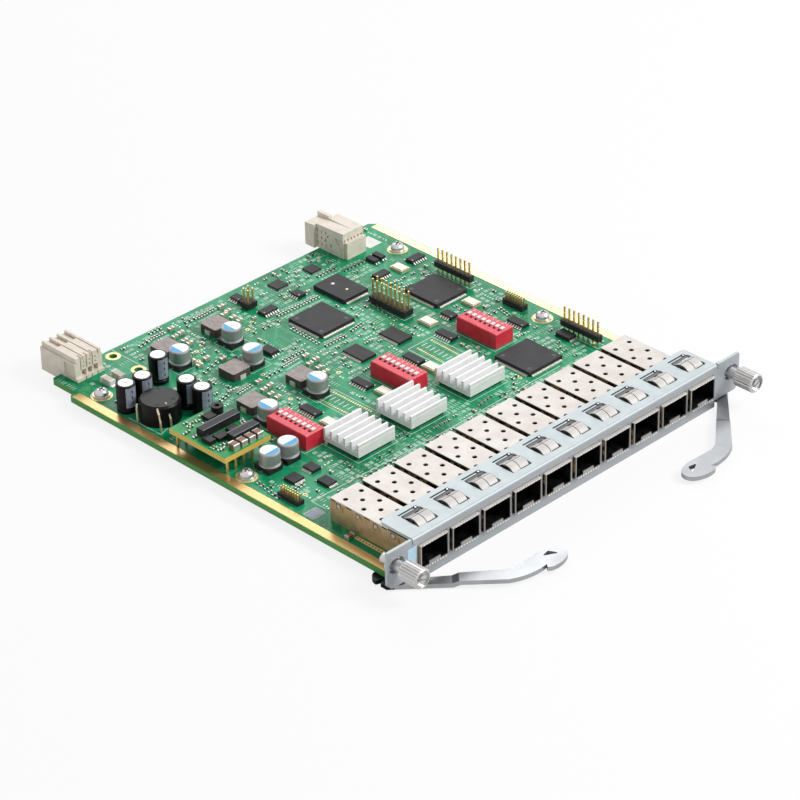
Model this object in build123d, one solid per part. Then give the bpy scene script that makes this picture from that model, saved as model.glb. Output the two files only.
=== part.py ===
from build123d import *
import math
import os

# Plug-in optical transponder card: a thick circuit board behind a folded faceplate
# with ten pluggable-module cages, two ejector levers and two captive thumbscrews.
# Lengths are in millimetres. While it is built, X runs along the faceplate from its
# left end, Y runs back from the faceplate's front, and Z = 0 is the surface that the
# card rests on. Each piece is then moved so that the origin is the bottom centre of
# the card's box.

# Faceplate: one folded sheet
card_width = 191.5
card_height = 18.6
sheet = 1.2
flange_depth = 17.3
flange_inset = 13.2
flange_corner = 2.0
relief_width = 0.8
raised_end_length = 14.0
raised_end_height = 2.9
end_chamfer = 2.0
plate_corner = 0.8
bend_radius = 1.1

# Circuit board, set in from the faceplate's two ends
board_inset = 5.75
board_front = 1.6
board_length = 194.1
board_thick = 2.4
standoff_height = 2.6
board_corner = 1.5
step_width = 3.7
step_length = 14.9
rear_chamfer = 3.0
plated_hole_radius = 1.7
strip_width = 3.9
strip_margin = 0.25
strip_thick = 0.1
right_strip_start = 52.0

# Module cages: folded sheet tubs, with perforated covers on them
port_pitch = 16.25
port_margin = 15.6
cage_width = 14.0
cage_height = 9.8
cage_rear = 45.1
cage_nose = 1.3
cage_sheet = 0.4
port_clearance = 0.4
latch_tab_width = 5.6
latch_tab_height = 1.7
side_tab_size = 1.6
side_tab_proud = 0.25
side_tab_pitch = 9.6
side_tab_count = 4
vent_radius = 1.0
vent_pitch = 9.4
vent_spread = 4.0
vent_first = 5.0
host_length = 11.0
host_height = 5.6
host_side_gap = 1.0
host_slot_height = 1.4

# Windows in the flange and the spring clips that stand in them
window_width = 9.8
window_depth = 9.0
window_front = 4.1
window_offset = 4.6
window_slot_gap = 1.1
window_slot_width = 0.6
window_slot_length = 8.2
window_hole_radius = 0.6
spring_sheet = 0.3
spring_margin = 0.4
spring_rise = 0.9
spring_foot = 1.2

# Thumbscrews
screw_inset = 4.8
screw_height = 11.8
screw_slot_length = 7.8
screw_slot_height = 6.0
screw_shank_radius = 2.4
screw_gap = 4.0
screw_head_radius = 4.0
screw_head_length = 9.0
screw_knurl_count = 22
screw_knurl_depth = 0.35
screw_rim = 0.8
screw_recess_depth = 1.2
screw_boss_radius = 1.7
screw_blade_width = 0.8
screw_neck_radius = 1.7
screw_neck_length = 2.6
screw_thread_radius = 2.0
screw_thread_length = 5.0
ring_radius = 4.2
ring_thick = 0.8
ring_clearance = 0.05
ring_end_gap = 0.1

# Ejector levers: pressed plate with a step just ahead of the faceplate
lever_thick = 1.8
lever_height = 0.6
lever_step_up = 1.0
lever_step_start = 22.0
lever_step_length = 2.5
lever_turn = 42.3
lever_reach = 32.2
lever_span = 47.4
pivot_inset = 2.85
pivot_y = 7.0
pivot_radius = 1.5
pivot_clearance = 0.05
pivot_head_radius = 2.6
pivot_head_thick = 0.45

# Places on the board: across and along it, in hundredths of its width and length.
# Parts near an edge stand at a fixed distance from that edge instead.
hundred = 100.0

# Board screws, washers and standoffs: distance from the board's edge, and place along it
left_fixings = ((8.85, 87.7), (8.45, 44.8))
right_fixings = ((10.05, 87.3), (10.25, 44.8))
fixing_hole_radius = 1.6
fixing_screw_radius = 1.5
fixing_head_radius = 2.9
fixing_head_height = 2.3
fixing_recess = 1.3
washer_radius = 3.4
washer_thick = 0.7
standoff_flats = 5.5

# Eight-way switches: place across the board, and distance behind the heatsinks' row
switch_places = ((22.6, 20.8), (53.4, 21.1), (80.0, 20.8))
switch_ways = 8
switch_pitch = 2.54
switch_width = 9.8
switch_length = 21.6
switch_height = 6.5
switch_edge = 0.3
slot_length = 3.7
slot_width = 1.6
slot_depth = 1.7
slider_length = 2.0
slider_gap = 0.1
slider_proud = 0.35
slider_seat = 0.05

# Heatsinks on their chips, in one row across the board
heatsink_row = 37.9
heatsink_places = (30.0, 45.6, 63.4)
heatsink_width = 19.3
heatsink_length = 18.8
heatsink_height = 5.6
heatsink_base = 1.8
heatsink_groove = 0.3
heatsink_groove_depth = 0.15
fin_count = 6
fin_thick = 0.9
hot_chip_size = 17.0
hot_chip_height = 1.4

# Large chips: place across and along, then width, length and height
large_chips = (
    (59.2, 76.7, 18.6, 19.0, 2.0),
    (71.9, 83.2, 13.4, 18.2, 2.0),
    (85.9, 68.1, 17.4, 18.8, 2.0),
    (79.0, 35.5, 18.6, 19.0, 2.0),
)
# Small chips: the same five values
small_chips = (
    (66.0, 61.4, 7.4, 11.4, 1.2),
    (55.2, 61.8, 7.4, 11.4, 1.2),
    (74.0, 94.0, 5.6, 5.6, 1.0),
    (63.6, 94.3, 6.0, 6.0, 1.0),
    (63.8, 88.3, 3.9, 5.0, 1.5),
    (54.0, 87.8, 7.4, 3.9, 1.5),
    (46.6, 52.8, 3.9, 9.0, 1.5),
    (61.5, 52.1, 3.9, 9.0, 1.5),
    (82.9, 81.5, 7.0, 3.9, 1.5),
    (80.6, 59.3, 3.9, 6.0, 1.5),
    (73.8, 53.9, 3.9, 9.0, 1.5),
    (88.6, 46.8, 3.9, 8.6, 1.5),
    (31.2, 52.8, 3.9, 9.0, 1.5),
    (16.0, 37.7, 4.4, 5.4, 1.3),
    (10.6, 37.4, 5.4, 5.4, 1.3),
    (14.5, 32.1, 4.6, 6.0, 1.3),
    (53.1, 96.2, 3.9, 5.0, 1.5),
    (42.1, 75.5, 4.2, 6.2, 1.9),
)
# Chips near the right edge: distance from that edge, place along, then the same three sizes
edge_chips = (
    (11.25, 81.2, 7.4, 3.9, 1.5),
    (14.75, 36.1, 4.4, 7.2, 1.7),
    (24.55, 87.4, 2.6, 5.4, 1.6),
    (20.35, 87.6, 2.6, 5.4, 1.6),
)
# Two parts in front of the power connector: distances from the left and rear edges, and sizes
corner_chips = ((16.55, 18.9, 2.6, 5.6, 2.4), (22.15, 18.5, 2.6, 5.6, 2.4))
crystal_places = (
    (88.1, 80.7),
    (75.2, 60.5),
    (88.0, 59.6),
    (47.5, 47.4),
    (61.8, 47.3),
    (30.7, 46.9),
)
crystal_width = 4.8
crystal_length = 6.8
crystal_height = 1.5
crystal_lid_inset = 0.5
crystal_lid_thick = 0.3

# Choke, and the tall capacitors that stand round it at fixed distances
choke_inset = 14.25
choke_along = 73.0
choke_radius = 8.2
choke_height = 9.0
choke_edge = 0.8
tall_cap_offsets = ((17.2, 20.4), (2.9, 13.2), (-5.4, 13.4), (12.8, -1.2), (13.2, -9.6))
tall_cap_radius = 3.9
tall_cap_height = 12.2
tall_cap_groove = 0.35
tall_cap_groove_height = 2.2

# Can capacitors with an inductor beside each: place of the can, then offset of the inductor
can_places = (
    (39.4, 84.0, 2.4, 11.9),
    (25.1, 85.1, 2.7, 11.1),
    (36.3, 74.7, -10.1, -0.4),
    (37.7, 57.1, 1.9, 11.0),
)
# The same beside the first switch: offset of the can from it, then of the inductor
switch_can = (0.2, 15.3, 2.6, 11.7)
# A pair of cans without inductors: place of its middle, and half the distance between
can_pair = (13.0, 43.9)
can_pair_spread = 4.7
can_radius = 4.15
can_height = 5.8
can_edge = 0.6
can_neck = 0.5
can_base_size = 8.3
can_base_height = 2.0
can_base_chamfer = 1.6
inductor_size = 9.4
inductor_height = 3.5
inductor_chamfer = 0.6
inductor_tab_width = 2.6
inductor_tab_proud = 0.3

# Power converter module on pins
converter_inset = 14.45
converter_along = 55.6
converter_width = 23.2
converter_length = 31.0
converter_board_thick = 2.2
converter_rise = 5.8
# Parts on the module: offset from its middle, then width, length and height
converter_cores = ((1.7, 2.6, 18.6, 3.9, 3.4), (4.5, -8.2, 13.2, 3.9, 3.2))
converter_small = (
    (-2.8, -3.7, 5.0, 4.0, 1.6),
    (-7.8, -2.5, 3.0, 5.0, 1.8),
    (4.0, -2.8, 4.4, 3.0, 1.4),
    (3.4, 9.5, 4.2, 4.2, 1.8),
)
converter_ceramics = 4
ceramic_first = (-4.2, -12.5)
ceramic_pitch = 4.0
ceramic_width = 2.8
ceramic_length = 3.6
ceramic_height = 2.2
converter_coil = (8.8, 11.1)
converter_coil_radius = 2.4
converter_coil_bore = 1.0
converter_coil_height = 3.0
converter_pin_radius = 0.55
converter_pin_inset = 1.6
converter_pin_columns = (2.4, 6.6, 10.8, 15.0, 19.2)

# Pin headers: pins in a row, and how far the bodies and the pins reach above the board
header_pitch = 2.54
header_body_width = 2.5
header_body_height = 2.5
header_pin = 0.64
long_header_count = 8
short_header_count = 2
raised_header_lift = 2.3
low_header_lift = 0.6
long_pin_top = 11.0
short_pin_top = 9.0
edge_header_places = ((11.45, 69.7), (10.95, 33.7))
double_header = (74.1, 70.3)
short_header = (52.5, 92.2)

# Fine-pitch headers with two rows of pins
fine_pitch = 1.27
fine_pin = 0.45
fine_count = 8
fine_width = 3.4
fine_length = 10.8
fine_height = 2.4
fine_pin_top = 5.5
fine_inset = 10.85
fine_along = 52.3
gilt_height = 1.9
gilt_pin_top = 4.5
gilt_inset = 9.0
gilt_along = 32.8

# Power connector, over the board's rear edge at the left
power_inset = 15.35
power_on_board = 10.3
power_overhang = 11.9
power_width = 13.8
power_height = 10.0
power_skirt = 2.3
power_gap = 0.2
power_step = 0.6
power_step_height = 2.2
power_rear_step = 0.4
power_ridge = 1.1
power_channel_count = 3
power_channel_length = 8.5
power_slit_width = 0.6
power_slit_depth = 1.8
power_slab_reach = 1.2
power_slab = 1.3
power_bay_pitch = 2.95
power_bay_offset = 0.5
power_bay_width = 2.1
power_bay_depth = 3.0
power_bay_height = 2.7
power_post_gap = 0.6
power_post_depth = 2.0
power_hole = 0.7
power_hole_rise = 2.0
power_recess_length = 5.9
power_recess_lip = 0.7
power_recess_height = 5.6
power_recess_depth = 0.8

# Data connector, over the board's rear edge at the right
data_inset = 26.5
data_on_board = 16.2
data_overhang = 6.8
data_width = 12.9
data_height = 11.6
data_ramp = 1.2
data_rail_rise = 0.9
data_rail_width = 1.8
data_rail_length = 6.8
data_rail_offset = 7.4
data_rear_shelf = 5.0
data_cheek_length = 5.4
data_cheek_proud = 1.5
data_front_step = 1.7
data_front_height = 7.5
data_front_gap = 0.7
data_hole_count = 6
data_hole_size = 1.0
data_hole_depth = 2.0
data_slot_columns = 3
data_slot_rows = 3
data_slot_pitch = 2.4
data_slot_rise = 2.9
data_slot_width = 0.7
data_slot_length = 1.6
data_slot_depth = 0.8
data_corner_length = 5.2
data_corner_height = 8.2
data_corner_depth = 0.6

# Worked-out levels and places
board_top = standoff_height + board_thick
board_width = card_width - 2 * board_inset
board_left = board_inset
board_right = board_left + board_width
board_rear = board_front + board_length
pivot_x = board_left + pivot_inset
head_x = pivot_x + lever_span
port_count = int((card_width - 2 * port_margin - cage_width) / port_pitch) + 1
ports_left = (card_width - (port_count - 1) * port_pitch - cage_width) / 2
cage_top = board_top + cage_height
flange_right = card_width - flange_inset
power_x = board_left + power_inset
power_front = board_rear - power_on_board
power_rear = board_rear + power_overhang
data_x = board_right - data_inset
data_front = board_rear - data_on_board
data_rear = board_rear + data_overhang
LOW = (Align.CENTER, Align.CENTER, Align.MIN)


def along(share):
    """Distance from the faceplate's front of a place along the board."""
    return board_front + board_length * share / hundred


def spot(across, share):
    """A place on the board, from its shares of the width and the length."""
    return board_left + board_width * across / hundred, along(share)


choke_point = (board_left + choke_inset, along(choke_along))
converter_point = (board_left + converter_inset, along(converter_along))
fixing_points = [(board_left + inset, along(share)) for inset, share in left_fixings]
fixing_points += [(board_right - inset, along(share)) for inset, share in right_fixings]
heatsink_points = [spot(across, heatsink_row) for across in heatsink_places]
switch_points = [(spot(across, 0)[0], along(heatsink_row) + gap) for across, gap in switch_places]


def block(x, y, z, width, length, height):
    """A box whose underside is centred on x, y at height z."""
    return Pos(x, y, z) * Box(width, length, height, align=LOW)


def span(x0, x1, y0, y1, z0, z1):
    """A box between two corners."""
    return block((x0 + x1) / 2, (y0 + y1) / 2, z0, x1 - x0, y1 - y0, z1 - z0)


def drum(x, y, z, radius, height):
    """An upright cylinder whose underside is centred on x, y at height z."""
    return Pos(x, y, z) * Cylinder(radius, height, align=LOW)


def rod(x, z, y0, y1, radius):
    """A cylinder along Y from y0 to y1."""
    return Pos(x, (y0 + y1) / 2, z) * Rot(90, 0, 0) * Cylinder(radius, y1 - y0)


def turned(points):
    """A solid of revolution about Z from its half-section in X and Z."""
    section = make_face(Polyline(*[(r, 0, z) for r, z in points], close=True))
    return revolve(section, Axis.Z)


def write(node, *pieces):
    """Moves the pieces to the card's own origin and writes them as one node."""
    solids = [origin_shift * solid for piece in pieces for solid in piece.solids()]
    shape = solids[0] if len(solids) == 1 else Compound(children=solids)
    export_step(shape, f"parts/{node}.step")


def closed_outline(start, *steps):
    """A face whose edge runs on from start: a step is one point for a line, two for an arc."""
    edge = None
    here = start
    for step in (*steps, (start,)):
        run = Line(here, *step) if len(step) == 1 else ThreePointArc(here, *step)
        edge = run if edge is None else edge + run
        here = step[-1]
    return make_face(edge)


def mirrored(piece):
    """The same piece at the card's right-hand end."""
    return mirror(piece, Plane.YZ.offset(card_width / 2))


def port_left(index):
    """Left side of one cage."""
    return ports_left + index * port_pitch


def make_board():
    left_rear = board_left + step_width
    outline = make_face(
        Polyline(
            (board_left, board_front),
            (board_right, board_front),
            (board_right, board_rear - rear_chamfer),
            (board_right - rear_chamfer, board_rear),
            (left_rear, board_rear),
            (left_rear, board_rear - step_length),
            (board_left, board_rear - step_length),
            close=True,
        )
    )
    rounded = [
        v
        for v in outline.vertices()
        if v.Y > board_rear - step_length - 1 and v.X < left_rear + 1 and not (
            v.X > left_rear - 1 and v.Y < board_rear - 1
        )
    ]
    outline = fillet(rounded, board_corner)
    board = Pos(0, 0, standoff_height) * extrude(outline, board_thick)
    for x, y in fixing_points:
        board -= drum(x, y, standoff_height, fixing_hole_radius, board_thick)
    for x, y in ((board_left + 31.4, board_rear - 4.6), (board_left + 31.6, board_rear - 19.6)):
        board -= drum(x, y, standoff_height, plated_hole_radius, board_thick)
    for x in (pivot_x, card_width - pivot_x):
        board -= drum(x, pivot_y, standoff_height, pivot_radius, board_thick)
    return board


def make_strips():
    left = span(
        board_left + strip_margin,
        board_left + strip_margin + strip_width,
        board_front,
        board_rear - step_length - board_corner,
        board_top,
        board_top + strip_thick,
    )
    left -= drum(pivot_x, pivot_y, board_top, pivot_radius, strip_thick)
    right = span(
        board_right - strip_margin - strip_width,
        board_right - strip_margin,
        right_strip_start,
        board_rear - rear_chamfer,
        board_top,
        board_top + strip_thick,
    )
    return left, right


def make_faceplate():
    outline = make_face(
        Polyline(
            (0, raised_end_height),
            (raised_end_length, raised_end_height),
            (raised_end_length, 0),
            (card_width - raised_end_length, 0),
            (card_width - raised_end_length, raised_end_height),
            (card_width, raised_end_height),
            (card_width, card_height),
            (0, card_height),
            close=True,
        )
    )
    lower = [v for v in outline.vertices() if v.Y < card_height / 2 and (v.X < 1 or v.X > card_width - 1)]
    outline = chamfer(lower, end_chamfer)
    upper = [v for v in outline.vertices() if v.Y > card_height - 0.1]
    outline = fillet(upper, plate_corner)
    for x in (screw_inset, card_width - screw_inset):
        outline -= Pos(x, screw_height) * SlotOverall(screw_slot_length, screw_slot_height)
    for index in range(port_count):
        centre = port_left(index) + cage_width / 2
        middle = board_top + cage_height / 2
        outline -= Pos(centre, middle) * Rectangle(
            cage_width + 2 * port_clearance, cage_height + 2 * port_clearance
        )
    plate = Plane.XZ * extrude(outline, -sheet)
    flange = span(
        flange_inset, flange_right, 0, flange_depth, card_height - sheet, card_height
    )
    corners = [e for e in flange.edges().filter_by(Axis.Z) if e.center().Y > flange_depth - 1]
    plate += fillet(corners, flange_corner)
    for side in (flange_inset - relief_width, flange_right):
        plate -= span(side, side + relief_width, 0, sheet, card_height - 2 * sheet, card_height)
    bend = [
        e
        for e in plate.edges().filter_by(Axis.X)
        if e.center().Y < 0.01 and e.center().Z > card_height - 0.01 and e.length > card_width / 2
    ]
    plate = fillet(bend, bend_radius)
    return plate - flange_cuts()


def flange_cuts():
    cuts = []
    low = card_height - sheet
    for index in range(port_count):
        left = port_left(index) + window_offset
        rear = window_front + window_depth
        slot_y = rear + window_slot_gap
        cuts.append(span(left, left + window_width, window_front, rear, low, card_height))
        cuts.append(
            span(left, left + window_slot_length, slot_y, slot_y + window_slot_width, low, card_height)
        )
        hole_y = slot_y + window_slot_width / 2
        cuts.append(drum(left + window_slot_length, hole_y, low, window_hole_radius, sheet))
    return cuts


def make_spring(index):
    """A strip arched front to back through the flange's window, with two flat feet."""
    left = port_left(index) + window_offset + spring_margin
    front = window_front + spring_margin
    rear = window_front + window_depth - spring_margin
    crown = card_height + spring_rise
    middle = (front + rear) / 2
    hip = card_height - sheet - spring_margin
    inner = spring_sheet
    skin = (
        Line((front, cage_top + inner), (front, hip))
        + ThreePointArc((front, hip), (middle, crown), (rear, hip))
        + Line((rear, hip), (rear, cage_top + inner))
        + Line((rear, cage_top + inner), (rear + spring_foot, cage_top + inner))
        + Line((rear + spring_foot, cage_top + inner), (rear + spring_foot, cage_top))
        + Line((rear + spring_foot, cage_top), (rear - inner, cage_top))
        + Line((rear - inner, cage_top), (rear - inner, hip))
        + ThreePointArc((rear - inner, hip), (middle, crown - inner), (front + inner, hip))
        + Line((front + inner, hip), (front + inner, cage_top))
        + Line((front + inner, cage_top), (front - spring_foot, cage_top))
        + Line((front - spring_foot, cage_top), (front - spring_foot, cage_top + inner))
        + Line((front - spring_foot, cage_top + inner), (front, cage_top + inner))
    )
    section = Plane.YZ * make_face(skin)
    return Pos(left, 0, 0) * extrude(section, window_width - 2 * spring_margin)


def make_tub(index):
    left = port_left(index)
    right = left + cage_width
    top = cage_top - cage_sheet
    tub = span(left, right, -cage_nose, cage_rear, board_top, top)
    tub -= span(
        left + cage_sheet, right - cage_sheet, -cage_nose, cage_rear - cage_sheet, board_top + cage_sheet, top
    )
    middle = (left + right) / 2
    tub += block(
        middle, -cage_nose + cage_sheet / 2, board_top, latch_tab_width, cage_sheet, latch_tab_height
    )
    for number in range(side_tab_count):
        y = cage_rear - (number + 0.6) * side_tab_pitch
        z = top - 2 * side_tab_size
        tub += block(
            middle, y, z, cage_width + 2 * side_tab_proud, side_tab_size, side_tab_size
        ) - block(middle, y, z, cage_width - cage_sheet, side_tab_size, side_tab_size)
    return tub


def make_cover(index):
    left = port_left(index)
    middle = left + cage_width / 2
    cover = span(left, left + cage_width, -cage_nose, cage_rear, cage_top - cage_sheet, cage_top)
    for row in range(3):
        y = cage_rear - vent_first - row * vent_pitch
        for x in (middle - vent_spread, middle + vent_spread):
            cover -= drum(x, y, cage_top - cage_sheet, vent_radius, cage_sheet)
    for row in range(2):
        y = cage_rear - vent_first - (row + 0.5) * vent_pitch
        cover -= drum(middle, y, cage_top - cage_sheet, vent_radius, cage_sheet)
    return cover


def make_host(index):
    """The connector inside a cage, with the slot that takes a module's edge."""
    left = port_left(index) + cage_sheet + host_side_gap
    right = port_left(index) + cage_width - cage_sheet - host_side_gap
    rear = cage_rear - 2 * cage_sheet
    low = board_top + cage_sheet
    host = span(left, right, rear - host_length, rear, low, low + host_height)
    middle = low + host_height * 0.6
    return host - span(
        left + host_side_gap,
        right - host_side_gap,
        rear - host_length,
        rear - host_length / 2,
        middle,
        middle + host_slot_height,
    )


def near_pivot(x, y):
    """A point of the lever, from its pivot."""
    return pivot_x + x, pivot_y + y


def near_head(x, y):
    """A point of the lever, from the far edge of its finger end."""
    return head_x + x, y - lever_reach


def make_lever():
    """The left lever, from its claw under the board to its curled finger end."""
    outline = closed_outline(
        near_pivot(3.0, -6.4),
        (near_head(-19.0, 12.3),),
        (near_head(-16.0, 10.5), near_head(-12.5, 9.8)),
        (near_head(-4.5, 10.2),),
        (near_head(1.0, 10.0), near_head(5.2, 8.2)),
        (near_head(6.6, 5.0), near_head(4.9, 1.8)),
        (near_head(0.2, 0.0), near_head(-4.8, 0.2)),
        (near_head(-6.3, 1.2),),
        (near_head(-5.2, 2.8),),
        (near_head(-13.6, 3.0), near_head(-21.5, 6.0)),
        (near_pivot(-3.0, -6.4),),
        (near_pivot(-6.0, -3.8),),
        (near_pivot(-6.0, -0.8),),
        (near_pivot(-4.4, -0.4),),
        (near_pivot(-4.4, 0.6),),
        (near_pivot(-6.3, 1.3),),
        (near_pivot(-5.0, 4.6), near_pivot(-1.8, 5.7)),
        (near_pivot(3.0, 4.0), near_pivot(4.8, 0.0)),
    )
    corners = (near_head(-2.8, 7.5), near_head(1.4, 8.2), near_head(3.3, 4.3))
    hole = make_face(Polyline(*corners, close=True))
    outline -= fillet(hole.vertices(), 0.4)
    outline -= Pos(pivot_x, pivot_y) * Circle(pivot_radius + pivot_clearance)
    top = lever_height + lever_step_up + lever_thick
    lever = Pos(0, 0, lever_height) * extrude(outline, top - lever_height)
    start = lever_step_start
    end = lever_step_start + lever_step_length
    raised = lever_height + lever_step_up
    far = lever_reach * 3
    band = Plane.XZ * make_face(
        Polyline(
            (-far, lever_height),
            (start, lever_height),
            (end, raised),
            (far, raised),
            (far, raised + lever_thick),
            (end - 0.5, raised + lever_thick),
            (start - 0.5, lever_height + lever_thick),
            (-far, lever_height + lever_thick),
            close=True,
        )
    )
    slab = extrude(band, far, both=True)
    return lever & (Pos(pivot_x, pivot_y, 0) * Rot(0, 0, -lever_turn) * slab)


def make_pivot_pin():
    """A rivet through the lever into the board."""
    low = lever_height - pivot_head_thick - pivot_clearance
    pin = drum(pivot_x, pivot_y, low, pivot_head_radius, pivot_head_thick)
    return pin + drum(pivot_x, pivot_y, low, pivot_radius, board_top - low)


def knurled(radius):
    """A straight-knurled outline with one shallow groove for each tooth."""
    points = []
    for tooth in range(screw_knurl_count):
        for share, reach in ((0.0, radius - screw_knurl_depth), (0.3, radius), (0.7, radius)):
            angle = 2 * math.pi * (tooth + share) / screw_knurl_count
            points.append((reach * math.cos(angle), reach * math.sin(angle)))
    return make_face(Polyline(*points, close=True))


def make_thumbscrew():
    """The left screw: ribbed head with a recess round a slotted boss, shank, groove, thread."""
    x, z = screw_inset, screw_height
    back = -screw_gap
    front = back - screw_head_length
    head = Pos(x, back, z) * (Rot(90, 0, 0) * extrude(knurled(screw_head_radius), screw_head_length))
    head &= Pos(x, (front + back) / 2, z) * Rot(90, 0, 0) * chamfer(
        Cylinder(screw_head_radius, screw_head_length).edges().filter_by(GeomType.CIRCLE), 0.5
    )
    recess = rod(x, z, front, front + screw_recess_depth, screw_head_radius - screw_rim)
    recess -= rod(x, z, front, front + screw_recess_depth, screw_boss_radius)
    blade = Box(2 * screw_boss_radius, screw_recess_depth, screw_blade_width)
    recess += Pos(x, front + screw_recess_depth / 2, z) * Rot(0, 25, 0) * blade
    head -= recess
    neck = sheet + ring_end_gap
    groove_end = neck + ring_thick + 2 * ring_end_gap
    shank = rod(x, z, back, neck, screw_shank_radius)
    shank += rod(x, z, neck, groove_end, screw_neck_radius)
    tail = rod(x, z, groove_end, groove_end + screw_thread_length, screw_thread_radius)
    tip = [e for e in tail.edges().filter_by(GeomType.CIRCLE) if e.center().Y > groove_end + 1]
    return head + shank + chamfer(tip, 0.5)


def make_ring():
    """The left retaining ring, which sits in the screw's groove."""
    x, z = screw_inset, screw_height
    start = sheet + 2 * ring_end_gap
    ring = rod(x, z, start, start + ring_thick, ring_radius)
    return ring - rod(x, z, start, start + ring_thick, screw_neck_radius + ring_clearance)


def make_fixing_screw(x, y):
    """A pan-head screw through the washer and the board into its standoff."""
    base = board_top + washer_thick
    profile = (
        Line((0, standoff_height / 2), (fixing_screw_radius, standoff_height / 2))
        + Line((fixing_screw_radius, standoff_height / 2), (fixing_screw_radius, base))
        + Line((fixing_screw_radius, base), (fixing_head_radius, base))
        + ThreePointArc(
            (fixing_head_radius, base),
            (fixing_head_radius * 0.8, base + fixing_head_height * 0.75),
            (0, base + fixing_head_height),
        )
        + Line((0, base + fixing_head_height), (0, standoff_height / 2))
    )
    screw = revolve(Plane.XZ * make_face(profile), Axis.Z)
    top = base + fixing_head_height - fixing_recess
    for turn in (20, 110):
        screw -= Pos(0, 0, top) * Rot(0, 0, turn) * Box(
            fixing_head_radius, fixing_recess * 0.6, fixing_head_height, align=LOW
        )
    return Pos(x, y, 0) * screw


def make_washer(x, y):
    washer = drum(x, y, board_top, washer_radius, washer_thick)
    return washer - drum(x, y, board_top, fixing_screw_radius, washer_thick)


def make_standoff(x, y):
    standoff = Pos(x, y, 0) * extrude(
        RegularPolygon(standoff_flats / 2, 6, major_radius=False), standoff_height
    )
    return standoff - drum(x, y, 0, fixing_screw_radius, standoff_height)


def slider_y(y, way):
    return y + (switch_ways - 1) * switch_pitch / 2 - way * switch_pitch


def make_switch(x, y):
    housing = block(x, y, board_top, switch_width, switch_length, switch_height)
    housing = chamfer(housing.faces().sort_by(Axis.Z)[-1].edges(), switch_edge)
    floor = board_top + switch_height - slot_depth
    for way in range(switch_ways):
        housing -= block(x, slider_y(y, way), floor, slot_length, slot_width, slot_depth)
    return housing


def make_slider(x, y, way):
    """One slider, at the right end of its slot."""
    floor = board_top + switch_height - slot_depth
    right = x + slot_length / 2 - slider_gap
    height = slot_depth + slider_proud - slider_seat
    return block(
        right - slider_length / 2,
        slider_y(y, way),
        floor + slider_seat,
        slider_length,
        slot_width - 2 * slider_gap,
        height,
    )


def make_heatsink(x, y):
    low = board_top + hot_chip_height
    sink = block(x, y, low, heatsink_width, heatsink_length, heatsink_base)
    pitch = (heatsink_length - fin_thick) / (fin_count - 1)
    for fin in range(fin_count):
        fin_y = y - heatsink_length / 2 + fin_thick / 2 + fin * pitch
        sink += block(x, fin_y, low, heatsink_width, fin_thick, heatsink_height)
    for share in (0.45, 0.7):
        sink -= block(
            x,
            y - heatsink_length / 2,
            low + share * heatsink_height,
            heatsink_width,
            2 * heatsink_groove_depth,
            heatsink_groove,
        )
    return sink


def make_crystal(x, y):
    body = block(x, y, board_top, crystal_width, crystal_length, crystal_height - crystal_lid_thick)
    return body + block(
        x,
        y,
        board_top + crystal_height - crystal_lid_thick,
        crystal_width - 2 * crystal_lid_inset,
        crystal_length - 2 * crystal_lid_inset,
        crystal_lid_thick,
    )


def make_tall_cap(x, y):
    """An aluminium can with a crimped groove near its foot and a rolled top edge."""
    r, g, h = tall_cap_radius, tall_cap_groove, tall_cap_groove_height
    points = ((0, 0), (r - g, 0), (r, g), (r, h - g), (r - g, h), (r, h + g))
    points += ((r, tall_cap_height - g), (r - g, tall_cap_height), (0, tall_cap_height))
    return Pos(x, y, board_top) * turned(points)


def make_choke():
    body = drum(*choke_point, board_top, choke_radius, choke_height)
    return chamfer(body.faces().sort_by(Axis.Z)[-1].edges(), choke_edge)


def make_can(x, y):
    """A surface-mount can: necked just above its base, with a rounded top edge."""
    r, n, h = can_radius, can_neck, can_height
    points = ((0, 0), (r, 0), (r, n), (r - n, 1.6 * n), (r, 2.4 * n))
    points += ((r, h - can_edge), (r - can_edge * 0.3, h - can_edge * 0.3), (r - can_edge, h), (0, h))
    return Pos(x, y, board_top + can_base_height) * turned(points)


def make_can_base(x, y):
    """The square base plate, with two corners cut."""
    base = block(x, y, board_top, can_base_size, can_base_size, can_base_height)
    cut = [e for e in base.edges().filter_by(Axis.Z) if e.center().X > x]
    return chamfer(cut, can_base_chamfer)


def make_inductor(x, y, sideways):
    """A low square coil block, with a solder tab at each of two opposite sides."""
    body = block(x, y, board_top, inductor_size, inductor_size, inductor_height)
    body = chamfer(body.edges().filter_by(Axis.Z), inductor_chamfer)
    reach = inductor_size + 2 * inductor_tab_proud
    if sideways:
        return body + block(x, y, board_top, inductor_tab_width, reach, inductor_height / 2)
    return body + block(x, y, board_top, reach, inductor_tab_width, inductor_height / 2)


def converter_level():
    return board_top + converter_rise + converter_board_thick


def make_converter_board():
    x, y = converter_point
    return block(
        x, y, board_top + converter_rise, converter_width, converter_length, converter_board_thick
    )


def module_block(dx, dy, width, length, height):
    """A plain part on the module, placed from the module's middle."""
    x, y = converter_point
    return block(x + dx, y + dy, converter_level(), width, length, height)


def make_converter_cores():
    return [module_block(*core) for core in converter_cores]


def make_converter_parts():
    parts = [module_block(*small) for small in converter_small]
    dx, dy = ceramic_first
    for number in range(converter_ceramics):
        step = dx + number * ceramic_pitch
        parts.append(module_block(step, dy, ceramic_width, ceramic_length, ceramic_height))
    x = converter_point[0] + converter_coil[0]
    y = converter_point[1] + converter_coil[1]
    coil = drum(x, y, converter_level(), converter_coil_radius, converter_coil_height)
    coil -= drum(x, y, converter_level(), converter_coil_bore, converter_coil_height)
    return parts + [coil]


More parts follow.
